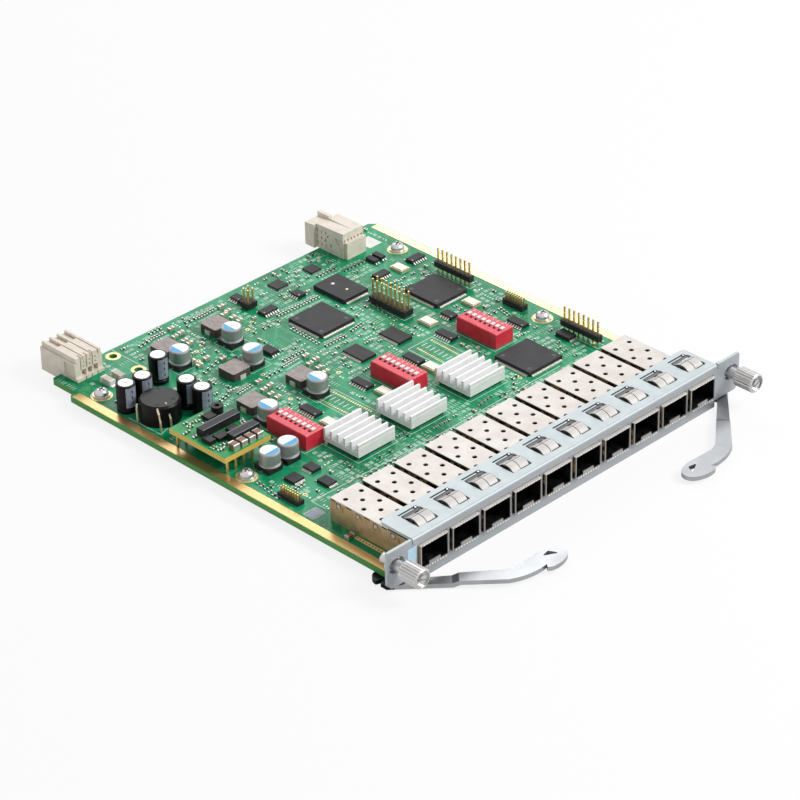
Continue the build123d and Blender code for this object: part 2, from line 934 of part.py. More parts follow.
def make_converter_pins():
    x, y = converter_point
    left = x - converter_width / 2
    reach = converter_length / 2 - converter_pin_inset
    pins = []
    for side in (-1, 1):
        for column in converter_pin_columns:
            pins.append(
                drum(left + column, y + side * reach, board_top, converter_pin_radius, converter_rise)
            )
    return pins


def pin_places(x, y, rows, count, pitch):
    """Places of a header's pins, from the header's middle."""
    return [
        (x + (row - (rows - 1) / 2) * pitch, y + (number - (count - 1) / 2) * pitch)
        for row in range(rows)
        for number in range(count)
    ]


def make_header_body(x, y, rows, count, lift):
    width = header_body_width + (rows - 1) * header_pitch
    body = block(x, y, board_top + lift, width, count * header_pitch, header_body_height)
    for px, py in pin_places(x, y, rows, count, header_pitch):
        body -= block(px, py, board_top + lift, header_pin, header_pin, header_body_height)
    return body


def make_header_pins(x, y, rows, count, top):
    return [
        block(px, py, board_top, header_pin, header_pin, top)
        for px, py in pin_places(x, y, rows, count, header_pitch)
    ]


def make_fine_body(x, y, height):
    body = block(x, y, board_top, fine_width, fine_length, height)
    for px, py in pin_places(x, y, 2, fine_count, fine_pitch):
        body -= block(px, py, board_top, fine_pin, fine_pin, height)
    return body


def make_fine_pins(x, y, top):
    return [
        block(px, py, board_top, fine_pin, fine_pin, top)
        for px, py in pin_places(x, y, 2, fine_count, fine_pitch)
    ]


def make_power_connector():
    """Moulded housing: channels and slits along its top, bays and a base slab at the front."""
    top = board_top + power_height
    step = top - power_step_height
    left = power_x - power_width / 2
    right = power_x + power_width / 2
    inner_left = left + power_step
    inner_right = right - power_step
    front = power_front + power_slab_reach
    slab = board_top + power_slab
    body = span(left, right, front, power_rear, board_top, step)
    body += span(inner_left, inner_right, front, power_rear - power_rear_step, step, top)
    body += span(left, right, board_rear + power_gap, power_rear, power_skirt, board_top)
    body += span(left, right, power_front, front, board_top, slab)
    return body - power_cuts(top, left, inner_left, inner_right, front, slab)


def power_cuts(top, left, inner_left, inner_right, front, slab):
    cuts = []
    pitch = (inner_right - inner_left - power_ridge) / power_channel_count
    radius = (pitch - power_ridge) / 2
    for number in range(power_channel_count):
        channel_x = inner_left + power_ridge + radius + number * pitch
        cuts.append(rod(channel_x, top, power_rear - power_channel_length, power_rear, radius))
        slit_x = channel_x + radius - power_slit_width
        cuts.append(
            span(slit_x, slit_x + power_slit_width, front, power_rear, top - power_slit_depth, top)
        )
        bay_x = power_x + power_bay_offset + (number - (power_channel_count - 1) / 2) * power_bay_pitch
        roof = slab + power_bay_height
        cuts.append(
            block(
                bay_x,
                front + power_bay_depth / 2,
                slab,
                power_bay_width,
                power_bay_depth,
                power_bay_height,
            )
        )
        for level in (1, 2):
            cuts.append(
                block(
                    bay_x,
                    front,
                    roof + level * power_hole_rise - power_hole_rise / 2,
                    power_hole,
                    2 * power_post_depth,
                    power_hole,
                )
            )
        cuts.append(
            block(
                bay_x - power_bay_pitch / 2,
                front + power_post_depth / 2,
                roof,
                power_post_gap,
                power_post_depth,
                top - roof,
            )
        )
        cuts.append(
            block(
                bay_x,
                power_front + power_post_gap / 2,
                board_top,
                power_post_gap,
                power_post_gap,
                power_slab,
            )
        )
    cuts.append(
        span(
            left,
            left + power_recess_depth,
            front + power_recess_lip,
            front + power_recess_lip + power_recess_length,
            slab,
            slab + power_recess_height,
        )
    )
    return cuts


def make_data_connector():
    """Moulded block: a rail on its top, a wider cheek at the rear, and a lower front step."""
    left = data_x - data_width / 2
    right = data_x + data_width / 2
    inner = left + data_cheek_proud
    top = board_top + data_height
    rail = left + data_rail_offset
    rail_front = data_rear - data_rail_length
    face = data_front + data_front_step
    side = closed_outline(
        (face, board_top),
        ((data_rear, board_top),),
        ((data_rear, top - data_ramp),),
        ((rail_front, top - data_ramp / 2),),
        ((face, top),),
    )
    body = Pos(left, 0, 0) * extrude(Plane.YZ * side, data_width)
    body -= span(left, inner, face, data_rear - data_cheek_length, board_top, top)
    body += span(rail, right, face, rail_front, top - data_ramp, top)
    body -= span(rail + data_rail_width, right, rail_front, data_rear, top - data_rear_shelf, top)
    body += span(rail, rail + data_rail_width, rail_front, data_rear, top - data_ramp, top + data_rail_rise)
    body += span(
        inner + data_front_gap, right, data_front, face, board_top, board_top + data_front_height
    )
    return body - data_cuts(inner, face)


def data_cuts(inner, face):
    """The row of holes at the front, and the slots and sunk corner of the left side."""
    cuts = []
    pitch = (data_width - data_cheek_proud) / data_hole_count
    middle = data_x + data_cheek_proud / 2
    for number in range(data_hole_count):
        cuts.append(
            block(
                middle + (number - (data_hole_count - 1) / 2) * pitch,
                face + data_hole_depth / 2,
                board_top + data_front_height,
                data_hole_size,
                data_hole_depth,
                data_hole_size,
            )
        )
    first = data_rear - data_cheek_length - data_slot_width
    for column in range(data_slot_columns):
        for row in range(data_slot_rows):
            cuts.append(
                block(
                    inner,
                    first - column * data_slot_pitch,
                    board_top + data_slot_length + row * data_slot_rise,
                    2 * data_slot_depth,
                    data_slot_width,
                    data_slot_length,
                )
            )
    for share, rise in ((0.5, 0.62), (0.58, 0.42), (0.42, 0.3)):
        slot = Box(2 * data_slot_depth, data_slot_width, data_slot_length)
        y = face + share * (data_rear - face) - data_slot_length
        cuts.append(Pos(inner, y, board_top + rise * data_height) * Rot(40, 0, 0) * slot)
    corner = closed_outline(
        (face + data_front_gap, board_top + data_front_gap),
        ((face + data_front_gap, board_top + data_corner_height),),
        ((face + data_corner_length, board_top + data_corner_height),),
    )
    cuts.append(Pos(inner, 0, 0) * extrude(Plane.YZ * corner, data_corner_depth))
    return cuts


# The card's own origin: half its width, half its depth with the levers, and its base
card_middle = (power_rear + make_lever().bounding_box().min.Y) / 2
origin_shift = Pos(-card_width / 2, -card_middle, 0)

os.makedirs("parts", exist_ok=True)

write("main_board", make_board())
write("ground_strips", *make_strips())
write("faceplate", make_faceplate())
write("port_springs", *[make_spring(index) for index in range(port_count)])
write("cage_tubs", *[make_tub(index) for index in range(port_count)])
write("cage_covers", *[make_cover(index) for index in range(port_count)])
write("host_connectors", *[make_host(index) for index in range(port_count)])

write("lever_left", make_lever())
write("lever_right", mirrored(make_lever()))
write("lever_pins", make_pivot_pin(), mirrored(make_pivot_pin()))
write("thumbscrew_left", make_thumbscrew())
write("thumbscrew_right", mirrored(make_thumbscrew()))
write("retaining_ring_left", make_ring())
write("retaining_ring_right", mirrored(make_ring()))

write("board_screws", *[make_fixing_screw(x, y) for x, y in fixing_points])
write("screw_washers", *[make_washer(x, y) for x, y in fixing_points])
write("standoffs", *[make_standoff(x, y) for x, y in fixing_points])

write("switch_housings", *[make_switch(x, y) for x, y in switch_points])
for bank, (x, y) in enumerate(switch_points, start=1):
    for way in range(switch_ways):
        write(f"slider_{bank}_{way + 1}", make_slider(x, y, way))

write("heatsinks", *[make_heatsink(x, y) for x, y in heatsink_points])
hot_chips = [(x, y, hot_chip_size, hot_chip_size, hot_chip_height) for x, y in heatsink_points]
big_chips = [(*spot(across, share), w, l, h) for across, share, w, l, h in large_chips]
big_chips += hot_chips
chips = [(*spot(across, share), w, l, h) for across, share, w, l, h in small_chips]
chips += [(board_right - inset, along(share), w, l, h) for inset, share, w, l, h in edge_chips]
chips += [(board_left + inset, board_rear - back, w, l, h) for inset, back, w, l, h in corner_chips]
write("large_chips", *[block(x, y, board_top, w, l, h) for x, y, w, l, h in big_chips])
write("small_chips", *[block(x, y, board_top, w, l, h) for x, y, w, l, h in chips])
write("crystals", *[make_crystal(*spot(across, share)) for across, share in crystal_places])
choke_x, choke_y = choke_point
write("tall_capacitors", *[make_tall_cap(choke_x + dx, choke_y + dy) for dx, dy in tall_cap_offsets])
write("choke", make_choke())
cans = [(*spot(across, share), dx, dy) for across, share, dx, dy in can_places]
can_dx, can_dy, coil_dx, coil_dy = switch_can
first_switch_x, first_switch_y = switch_points[0]
cans.append((first_switch_x + can_dx, first_switch_y + can_dy, coil_dx, coil_dy))
pair_x, pair_y = spot(*can_pair)
can_points = [(x, y) for x, y, dx, dy in cans]
can_points += [(pair_x + can_pair_spread, pair_y), (pair_x - can_pair_spread, pair_y)]
write("can_capacitors", *[make_can(x, y) for x, y in can_points])
write("can_bases", *[make_can_base(x, y) for x, y in can_points])
write("inductors", *[make_inductor(x + dx, y + dy, abs(dx) > abs(dy)) for x, y, dx, dy in cans])

write("converter_board", make_converter_board())
write("converter_cores", *make_converter_cores())
write("converter_parts", *make_converter_parts())
write("converter_pins", *make_converter_pins())

edge_headers = [(board_right - inset, along(share)) for inset, share in edge_header_places]
double_point = spot(*double_header)
short_point = spot(*short_header)
fine_point = (board_right - fine_inset, along(fine_along))
gilt_point = (board_left + gilt_inset, along(gilt_along))
bodies = [make_header_body(x, y, 1, long_header_count, raised_header_lift) for x, y in edge_headers]
bodies.append(make_header_body(*double_point, 2, long_header_count, low_header_lift))
bodies.append(make_header_body(*short_point, 2, short_header_count, low_header_lift))
bodies.append(make_fine_body(*fine_point, fine_height))
bodies.append(make_fine_body(*gilt_point, gilt_height))
write("header_bodies", *bodies)
pins = []
for x, y in edge_headers:
    pins += make_header_pins(x, y, 1, long_header_count, long_pin_top)
pins += make_header_pins(*double_point, 2, long_header_count, long_pin_top)
pins += make_header_pins(*short_point, 2, short_header_count, short_pin_top)
pins += make_fine_pins(*fine_point, fine_pin_top)
pins += make_fine_pins(*gilt_point, gilt_pin_top)
write("header_pins", *pins)

write("power_connector", make_power_connector())
write("data_connector", make_data_connector())
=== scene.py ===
# %% [markdown]
# A plug-in optical transponder card: a thick green circuit board behind a folded
# steel faceplate. The imported model is loaded first, because every piece that this
# lesson adds is placed against it.

# %% Load the imported model
import math

import bpy
import numpy as np
from mathutils import Matrix, Vector


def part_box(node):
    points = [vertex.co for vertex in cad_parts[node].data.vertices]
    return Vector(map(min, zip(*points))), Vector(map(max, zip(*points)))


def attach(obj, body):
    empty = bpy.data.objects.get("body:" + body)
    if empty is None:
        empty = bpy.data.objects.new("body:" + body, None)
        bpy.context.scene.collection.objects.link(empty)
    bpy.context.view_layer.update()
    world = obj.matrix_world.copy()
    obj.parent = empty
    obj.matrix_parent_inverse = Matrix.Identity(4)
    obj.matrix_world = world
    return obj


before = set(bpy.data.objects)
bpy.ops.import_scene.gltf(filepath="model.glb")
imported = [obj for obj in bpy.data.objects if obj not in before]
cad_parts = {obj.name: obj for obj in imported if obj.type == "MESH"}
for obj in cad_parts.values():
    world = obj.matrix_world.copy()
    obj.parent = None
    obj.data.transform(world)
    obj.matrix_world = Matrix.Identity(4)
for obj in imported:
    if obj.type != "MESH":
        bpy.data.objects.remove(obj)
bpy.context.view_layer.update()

# %% [markdown]
# The card's designer measures in millimetres from the faceplate's left end: X along
# the faceplate, Y backwards from its front, Z up from its lower edge. The model's
# origin is the middle of the whole box instead, so one function moves arrays of
# points from the designer's millimetres to the model's metres. The ports repeat at
# one pitch, and most parts stand on the board's upper face.

# %% From the card's millimetres to the model's metres
PLATE_LOW = np.array(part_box("faceplate")[0])
PLATE_LOW[2] = 0.0
BOARD_TOP = 5.0
PORT_START, PORT_PITCH = 15.625, 16.25


def to_model(points):
    """Card millimetres, as an array with X, Y, Z in its last axis, to metres."""
    return np.asarray(points, dtype=float) / 1000.0 + PLATE_LOW


def up(height, base=BOARD_TOP):
    """The lower and upper level of something of this height that stands on a base."""
    return base, base + height


print("faceplate's left lower corner", PLATE_LOW.round(4))

# %% [markdown]
# Colours are written as sRGB hex values, the way a paint chart gives them. The
# shaders work in linear light, so one function turns them. Few real surfaces have
# one even colour, so each finish drifts in soft clouds between two values. A second
# colour is then laid over it where a mask says so.

# %% Colours and nodes
def paint(hex_value, alpha=1.0):
    """sRGB hex to linear red, green, blue and alpha."""
    channels = np.array([int(hex_value[i : i + 2], 16) / 255 for i in (1, 3, 5)])
    linear = np.where(channels <= 0.04045, channels / 12.92, ((channels + 0.055) / 1.055) ** 2.4)
    return (*[float(c) for c in linear], alpha)


def add(tree, kind, settings=None, links=None):
    """Adds one node. Settings are its properties or its sockets' values, links are
    the sockets that it reads from."""
    made = tree.nodes.new(kind)
    for key, value in (settings or {}).items():
        if isinstance(key, str) and hasattr(made, key):
            setattr(made, key, value)
        else:
            made.inputs[key].default_value = value
    for key, source in (links or {}).items():
        tree.links.new(source, made.inputs[key])
    return made


def shader_for(name, colour, metallic=0.0, roughness=0.5, **sockets):
    """A new material with its shader's own sockets set. Gives the material, its node
    tree, its shader and the object's own coordinates in metres."""
    material = bpy.data.materials.new(name)
    material.use_nodes = True
    tree = material.node_tree
    shader = tree.nodes["Principled BSDF"]
    shader.inputs["Base Color"].default_value = paint(colour)
    shader.inputs["Metallic"].default_value = metallic
    shader.inputs["Roughness"].default_value = roughness
    for key, value in sockets.items():
        shader.inputs[key.replace("_", " ")].default_value = value
    return material, tree, shader, add(tree, "ShaderNodeTexCoord").outputs["Object"]


def per_mm(size):
    """The texture scale at which one cell is size millimetres wide."""
    return 1000.0 / size


def clouds(tree, place, size, dark, light, detail, span=(0.35, 0.65)):
    """Clouds of the given size in millimetres between two colours, which meet within
    a span of the noise. Gives their colour and the noise itself."""
    noise = add(tree, "ShaderNodeTexNoise", {"Scale": per_mm(size), "Detail": detail}, {"Vector": place})
    ramp = add(tree, "ShaderNodeValToRGB", {}, {"Fac": noise.outputs["Fac"]})
    for stop, position, colour in zip(ramp.color_ramp.elements, span, (dark, light)):
        stop.position, stop.color = position, paint(colour)
    return ramp.outputs["Color"], noise.outputs["Fac"]


def finish(name, dark, light, size, depth=0.0, detail=3.0, **sockets):
    """A material whose colour drifts in clouds between two values, with a bump of the
    given depth in millimetres. Gives what shader_for gives."""
    material, tree, shader, place = shader_for(name, dark, **sockets)
    colour, noise = clouds(tree, place, size, dark, light, detail)
    tree.links.new(colour, shader.inputs["Base Color"])
    if depth:
        bump = add(tree, "ShaderNodeBump", {"Strength": 1.0, "Distance": depth / 1000}, {"Height": noise})
        tree.links.new(bump.outputs["Normal"], shader.inputs["Normal"])
    return material, tree, shader, place


def plain(name, dark, light, size=1.0, **settings):
    """Such a material with nothing laid over it."""
    return finish(name, dark, light, size, **settings)[0]


def lay(tree, shader, colour, mask):
    """Lays a colour, written in hex or read from a socket, over the shader's own
    where the mask is 1."""
    base = shader.inputs["Base Color"]
    links = {"Fac": mask, "Color1": base.links[0].from_socket}
    written = isinstance(colour, str)
    if not written:
        links["Color2"] = colour
    over = add(tree, "ShaderNodeMixRGB", {"Color2": paint(colour)} if written else {}, links)
    tree.links.new(over.outputs["Color"], base)


def dress(material, *nodes):
    """Gives CAD nodes a material in place of their own."""
    for node in nodes:
        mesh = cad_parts[node].data
        mesh.materials.clear()
        mesh.materials.append(material)


print("white paint", [round(c, 3) for c in paint("#FFFFFF")])

# %% [markdown]
# Masks say where on a piece something shows. One is 1 between two planes of the
# card, one is 1 on upright walls, one counts how far across its port a point lies,
# and one makes dots. Several together are multiplied.

# %% Masks
def facing(tree):
    """The x, y and z of the direction that the surface faces."""
    normal = add(tree, "ShaderNodeNewGeometry").outputs["Normal"]
    return add(tree, "ShaderNodeSeparateXYZ", {}, {"Vector": normal}).outputs


def opposite(tree, mask):
    """1 less the mask."""
    return add(tree, "ShaderNodeMath", {"operation": "SUBTRACT", 0: 1.0}, {1: mask}).outputs[0]


def upright(tree):
    """1 on upright walls, 0 on level faces: 1 less the size of the direction's z."""
    level = add(tree, "ShaderNodeMath", {"operation": "ABSOLUTE"}, {0: facing(tree)["Z"]})
    return opposite(tree, level.outputs[0])


def between(tree, value, low, high):
    """1 where value lies between two numbers, from its distance to their middle."""
    off = add(tree, "ShaderNodeMath", {"operation": "SUBTRACT", 1: (low + high) / 2}, {0: value})
    size = add(tree, "ShaderNodeMath", {"operation": "ABSOLUTE"}, {0: off.outputs[0]})
    inside = add(tree, "ShaderNodeMath", {"operation": "LESS_THAN", 1: (high - low) / 2}, {0: size.outputs[0]})
    return inside.outputs[0]


def band(tree, place, axis, low, high):
    """1 between two of the card's millimetres along X, Y or Z (0, 1 or 2)."""
    spot = add(tree, "ShaderNodeSeparateXYZ", {}, {"Vector": place}).outputs[axis]
    return between(tree, spot, *to_model([[low] * 3, [high] * 3])[:, axis])


def both(tree, *masks):
    """The product of several masks."""
    product = masks[0]
    for mask in masks[1:]:
        product = add(tree, "ShaderNodeMath", {"operation": "MULTIPLY"}, {0: product, 1: mask}).outputs[0]
    return product


def either(tree, *masks):
    """The largest of several masks."""
    most = masks[0]
    for mask in masks[1:]:
        most = add(tree, "ShaderNodeMath", {"operation": "MAXIMUM"}, {0: most, 1: mask}).outputs[0]
    return most


def across_port(tree, place):
    """How far across its own port's pitch a point lies, from 0 to 1: the fraction of
    its distance from the first port, counted in pitches."""
    x = add(tree, "ShaderNodeSeparateXYZ", {}, {"Vector": place}).outputs["X"]
    start = to_model([PORT_START, 0.0, 0.0])[0]
    off = add(tree, "ShaderNodeMath", {"operation": "SUBTRACT", 1: start}, {0: x}).outputs[0]
    ports = add(tree, "ShaderNodeMath", {"operation": "DIVIDE", 1: PORT_PITCH / 1000}, {0: off}).outputs[0]
    return add(tree, "ShaderNodeMath", {"operation": "FRACT"}, {0: ports}).outputs[0]


def speckle(tree, shader, place, size, inner, outer, colour, share):
    """Lays dots of a colour over the shader's, about size millimetres apart. They
    fade from inner to outer, both shares of that size."""
    cell = add(tree, "ShaderNodeTexVoronoi", {"Scale": per_mm(size)}, {"Vector": place}).outputs["Distance"]
    fade = {"From Min": inner, "From Max": outer, "To Min": share, "To Max": 0.0}
    lay(tree, shader, colour, add(tree, "ShaderNodeMapRange", fade, {"Value": cell}).outputs["Result"])


print("masks ready")

# %% [markdown]
# The camera stands where the photographer's did. It was found by matching about
# eighty named corners of the card: it looks at one point of the board from a
# distance of 1.29 m, turned 44 degrees to the left of the faceplate and 32 degrees
# above it, and tilted by one degree. A long lens keeps the card nearly parallel.

# %% The camera
def make_camera(azimuth, elevation, roll, distance, focal_px, target, picture_px=800):
    """A camera on a sphere round the target: back is the direction from the target
    to it, and right and up are turned by the roll."""
    a, e, r = np.radians([azimuth, elevation, roll])
    back = np.array([math.sin(a) * math.cos(e), -math.cos(a) * math.cos(e), math.sin(e)])
    level = np.array([math.cos(a), math.sin(a), 0.0])
    steep = np.cross(back, level)
    right = math.cos(r) * level + math.sin(r) * steep
    up_now = -math.sin(r) * level + math.cos(r) * steep
    data = bpy.data.cameras.new("photo_camera")
    data.sensor_width = 36.0
    data.lens = focal_px / picture_px * data.sensor_width
    data.clip_start, data.clip_end = 0.05, 20.0
    camera = bpy.data.objects.new("photo_camera", data)
    bpy.context.scene.collection.objects.link(camera)
    turn = np.eye(4)
    turn[:3] = np.column_stack([right, up_now, back, to_model(np.array(target) + distance * back)])
    camera.matrix_world = Matrix(turn.tolist())
    bpy.context.scene.camera = camera
    return camera


camera = make_camera(-44.438, 31.594, -1.061, 1287.26, 3317.0, (97.564, 91.496, 0.0))
print("camera at", [round(v, 3) for v in camera.location], "lens", round(camera.data.lens, 1))

# %% [markdown]
# The card was photographed on white under one broad lamp, high at the front right:
# every side that looks forward is bright, and every side that looks left is dark.
# A pale floor catches its shadow. Rays that come straight from the camera also see
# some white glow in it, so that it joins the white background without more light on
# the card. The world is a plain white box, which mirror-like metal sees as white.

# %% Floor, lamps and world
def make_floor(side=6.0, glow_share=0.85):
    """A square floor that rays from the camera see as mostly glowing white."""
    mesh = bpy.data.meshes.new("floor")
    corners = [(-side, -side, 0), (side, -side, 0), (side, side, 0), (-side, side, 0)]
    mesh.from_pydata(corners, [], [(0, 1, 2, 3)])
    floor = bpy.data.objects.new("floor", mesh)
    bpy.context.scene.collection.objects.link(floor)
    material, tree, shader, _ = shader_for("floor_white", "#F2F2F2", roughness=0.9)
    glow = add(tree, "ShaderNodeEmission", {"Color": (1, 1, 1, 1), "Strength": 1.0})
    seen = add(tree, "ShaderNodeLightPath").outputs["Is Camera Ray"]
    share = add(tree, "ShaderNodeMath", {"operation": "MULTIPLY", 1: glow_share}, {0: seen})
    sides = {0: share.outputs[0], 1: shader.outputs[0], 2: glow.outputs[0]}
    mixed = add(tree, "ShaderNodeMixShader", {}, sides)
    tree.links.new(mixed.outputs[0], tree.nodes["Material Output"].inputs["Surface"])
    mesh.materials.append(material)


def make_lamp(name, toward, distance, size, watts):
    """A rectangular area lamp in the direction toward, facing the card."""
    data = bpy.data.lights.new(name, "AREA")
    data.shape = "RECTANGLE"
    data.size, data.size_y = size
    data.energy = watts
    lamp = bpy.data.objects.new(name, data)
    bpy.context.scene.collection.objects.link(lamp)
    away = Vector(toward).normalized()
    lamp.location = away * distance
    lamp.rotation_euler = (-away).to_track_quat("-Z", "Y").to_euler()


def make_world(light=0.42):
    """A soft white world, which the camera, gloss and glass see as plain white."""
    world = bpy.data.worlds.new("studio")
    bpy.context.scene.world = world
    world.use_nodes = True
    tree = world.node_tree
    soft = tree.nodes["Background"]
    soft.inputs["Color"].default_value = (1, 1, 1, 1)
    soft.inputs["Strength"].default_value = light
    seen = add(tree, "ShaderNodeBackground", {"Color": (1, 1, 1, 1), "Strength": 1.0})
    path = add(tree, "ShaderNodeLightPath").outputs
    rays = either(tree, *[path[f"Is {kind} Ray"] for kind in ("Camera", "Glossy", "Transmission")])
    mixed = add(tree, "ShaderNodeMixShader", {}, {0: rays, 1: soft.outputs[0], 2: seen.outputs[0]})
    tree.links.new(mixed.outputs[0], tree.nodes["World Output"].inputs["Surface"])


bpy.context.scene.view_settings.view_transform = "Standard"
make_floor()
make_world()
make_lamp("front_right_lamp", (0.45, -0.6, 0.7), 1.4, (0.55, 0.55), 14.0)
make_lamp("rear_lamp", (0.5, 0.75, 0.6), 1.5, (0.9, 0.5), 5.0)

# %% [markdown]
# The circuit board is glass fibre under green solder mask. The mask is a thin clear
# lacquer, so copper planes below it look paler, bare fibre looks darker, and traces
# show as hair lines. Clouds give the planes. Stripes that show only inside some
# cells give the traces, in three directions, and small dots are the covered vias.
# Real traces stand 0.3 mm apart, too fine to show, so these stand 4.8 mm apart. The
# cut edge of the board has no mask and is a paler yellow green.

# %% The board's solder mask
solder_mask, tree, shader, place = finish(
    "solder_mask_on_fibreglass", "#04754A", "#1FA170", 18.0, detail=4.0, roughness=0.3, Specular_IOR_Level=0.13
)
STRIPE_SCALE = 65.0  # a wave repeats 20 / 2 pi times in a unit, so every 4.8 mm here
slanted = add(tree, "ShaderNodeMapping", {"Rotation": (0, 0, math.radians(45))}, {"Vector": place})
cells = add(tree, "ShaderNodeTexVoronoi", {"Scale": per_mm(11.0)}, {"Vector": place}).outputs["Color"]
draws = add(tree, "ShaderNodeSeparateColor", {}, {"Color": cells}).outputs
lines = []
for luck, direction, source in zip(draws, "XYX", (place, place, slanted.outputs["Vector"])):
    wave = {"Scale": STRIPE_SCALE, "Distortion": 0.0, "bands_direction": direction}
    stripe = add(tree, "ShaderNodeTexWave", wave, {"Vector": source}).outputs["Fac"]
    gate = add(tree, "ShaderNodeMath", {"operation": "GREATER_THAN", 1: 0.58}, {0: luck}).outputs[0]
    lines.append(both(tree, stripe, gate))
crest = {"From Min": 0.72, "From Max": 0.9, "To Max": 0.3}
traces = add(tree, "ShaderNodeMapRange", crest, {"Value": either(tree, *lines)}).outputs["Result"]
lay(tree, shader, "#57B585", traces)
speckle(tree, shader, place, 2.6, 0.1, 0.14, "#9FD0B0", 0.4)
lay(tree, shader, "#5C9F58", upright(tree))
dress(solder_mask, "main_board")
print("mask nodes", len(tree.nodes))

# %% [markdown]
# Along both sides of the board runs a gold-plated strip, where the card slides in
# its slot. It is soft plating: matt, a little uneven, with fine dots. Painted shade
# makes it darker and browner towards the left, where it reflects less of the lamp.

# %% Gold plating
gold_strip, tree, shader, place = finish(
    "gold_plated_strip", "#CDBC92", "#D8C9A3", 6.0, metallic=0.6, roughness=0.3
)
speckle(tree, shader, place, 1.3, 0.192, 0.24, "#B08A55", 0.7)
# Painted shade: the strip turns darker and browner towards the left, by its place along X.
x = add(tree, "ShaderNodeSeparateXYZ", {}, {"Vector": place}).outputs["X"]
painted_left_shade = {"From Min": -0.09, "From Max": 0.09, "To Min": 0.75, "To Max": 0.0}
lay(tree, shader, "#BE9650", add(tree, "ShaderNodeMapRange", painted_left_shade, {"Value": x}).outputs["Result"])
dress(gold_strip, "ground_strips")
print("gold", gold_strip.name)

# %% [markdown]
# Sheet metals. The faceplate is zinc-plated steel with a faint grain, and painted shade
# makes its forward faces darker. The cages are tinned brass whose cut sides show warm,
# their covers are paler, and the springs in the ports are bright strip. Real sheet of
# this sort is nearly even, so the clouds between its two colours stay weak. Little light
# gets between and into the cages, so their insides are painted nearly black as shade,
# with painted brass glints between neighbours. The covers get painted shade where they lie
# under the flange, and the springs a painted dark crease and painted shade round their arches.

# %% Sheet metals
plate_zinc, tree, shader, place = finish(
    "zinc_plated_sheet", "#BAC4C6", "#C3CBCD", 5.0, depth=0.001, metallic=0.35, roughness=0.5
)
# Painted shade: faces that look forward are laid a darker grey.
front_face_shade = {"operation": "MULTIPLY", 1: -1.0, "use_clamp": True}
lay(tree, shader, "#A6ABAF", add(tree, "ShaderNodeMath", front_face_shade, {0: facing(tree)["Y"]}).outputs[0])
dress(plate_zinc, "faceplate")

cage_sheet, tree, shader, place = finish(
    "tinned_brass_sheet", "#B79C76", "#CDB591", 4.0, metallic=0.6, roughness=0.42
)
# Painted shade and painted glints: nearly black with brass glints between the cages, nearly black inside the ports.
gap_shade_and_glints, _ = clouds(tree, place, 3.0, "#14100A", "#B08D58", 2.0, (0.5, 0.62))
port_painted_shade, _ = clouds(tree, place, 3.0, "#0B0B0C", "#39393C", 2.0, (0.45, 0.75))
port = between(tree, across_port(tree, place), 0.3 / PORT_PITCH, 13.7 / PORT_PITCH)
painted_cage_shade = add(tree, "ShaderNodeMixRGB", {}, {"Fac": port, "Color1": gap_shade_and_glints, "Color2": port_painted_shade}).outputs["Color"]
inside = [band(tree, place, *reach) for reach in ((0, 15.8, 175.7), (1, -0.9, 44.6), (2, 5.2, 14.7))]
lay(tree, shader, painted_cage_shade, both(tree, *inside))
lay(tree, shader, "#A9A8A5", band(tree, place, 1, -2.0, -0.9))
dress(cage_sheet, "cage_tubs")

cover_sheet, tree, shader, place = finish(
    "tinned_cover_sheet", "#CBC4BE", "#D6D0CB", 6.0, depth=0.001, metallic=0.3, roughness=0.45
)
# Painted shade: nearly black from 1 to 15.4 mm behind the front, where the covers lie under the flange.
lay(tree, shader, "#17191B", band(tree, place, 1, 1.0, 15.4))
dress(cover_sheet, "cage_covers")

spring_strip, tree, shader, place = finish(
    "spring_strip", "#CDC9C6", "#D8D5D2", 5.0, metallic=0.1, roughness=0.5, Specular_IOR_Level=0.3
)
share = across_port(tree, place)
# Painted shade: a dark line down each spring's crease, and nearly black outside its arch.
painted_crease_shade = between(tree, share, 9.33 / PORT_PITCH, 9.67 / PORT_PITCH)
lay(tree, shader, "#2C2A28", either(tree, painted_crease_shade, band(tree, place, 1, 9.3, 9.6)))
unshaded_arch = both(
    tree, between(tree, share, 5.55 / PORT_PITCH, 13.9 / PORT_PITCH), band(tree, place, 1, 4.7, 12.6)
)
lay(tree, shader, "#1A1B1C", opposite(tree, unshaded_arch))
dress(spring_strip, "port_springs")
print("sheets", plate_zinc.name, cage_sheet.name, cover_sheet.name, spring_strip.name)

# %% [markdown]
# The ejector levers and thumbscrews are polished and bright plated steel. They
# mirror the white room, so they look pale grey. The levers' roots are painted dark,
# as painted shade where the room's light doesn't reach behind the faceplate.

# %% Bright steel
lever_steel, tree, shader, place = finish(
    "polished_lever_steel", "#A3A5A7", "#B3B5B7", 12.0, metallic=0.9, roughness=0.34
)
# Painted shade: the levers are laid nearly black from 1.4 mm behind the front, behind the faceplate.
lay(tree, shader, "#2A2B2D", band(tree, place, 1, 1.4, 60.0))
dress(lever_steel, "lever_left", "lever_right")

screw_nickel = plain("bright_nickel", "#C4C3C1", "#D2D1D0", 6.0, metallic=0.9, roughness=0.32)
paired = [f"{name}_{side}" for name in ("thumbscrew", "retaining_ring") for side in ("left", "right")]
dress(screw_nickel, *paired, "board_screws", "screw_washers", "standoffs")
print("steel", lever_steel.name, screw_nickel.name)

# %% [markdown]
# Mouldings. Filled nylon and polyester come out of the mould with a fine spark
# texture, a few hundredths of a millimetre deep. Black ones soften the light, and
# the beige of the two rear connectors is a glass-filled polyester.

# %% Moulded plastics
black_moulding_and_shade = plain("black_moulding_and_painted_shade", "#0F0F10", "#1B1B1D", 1.2, depth=0.01, roughness=0.6)
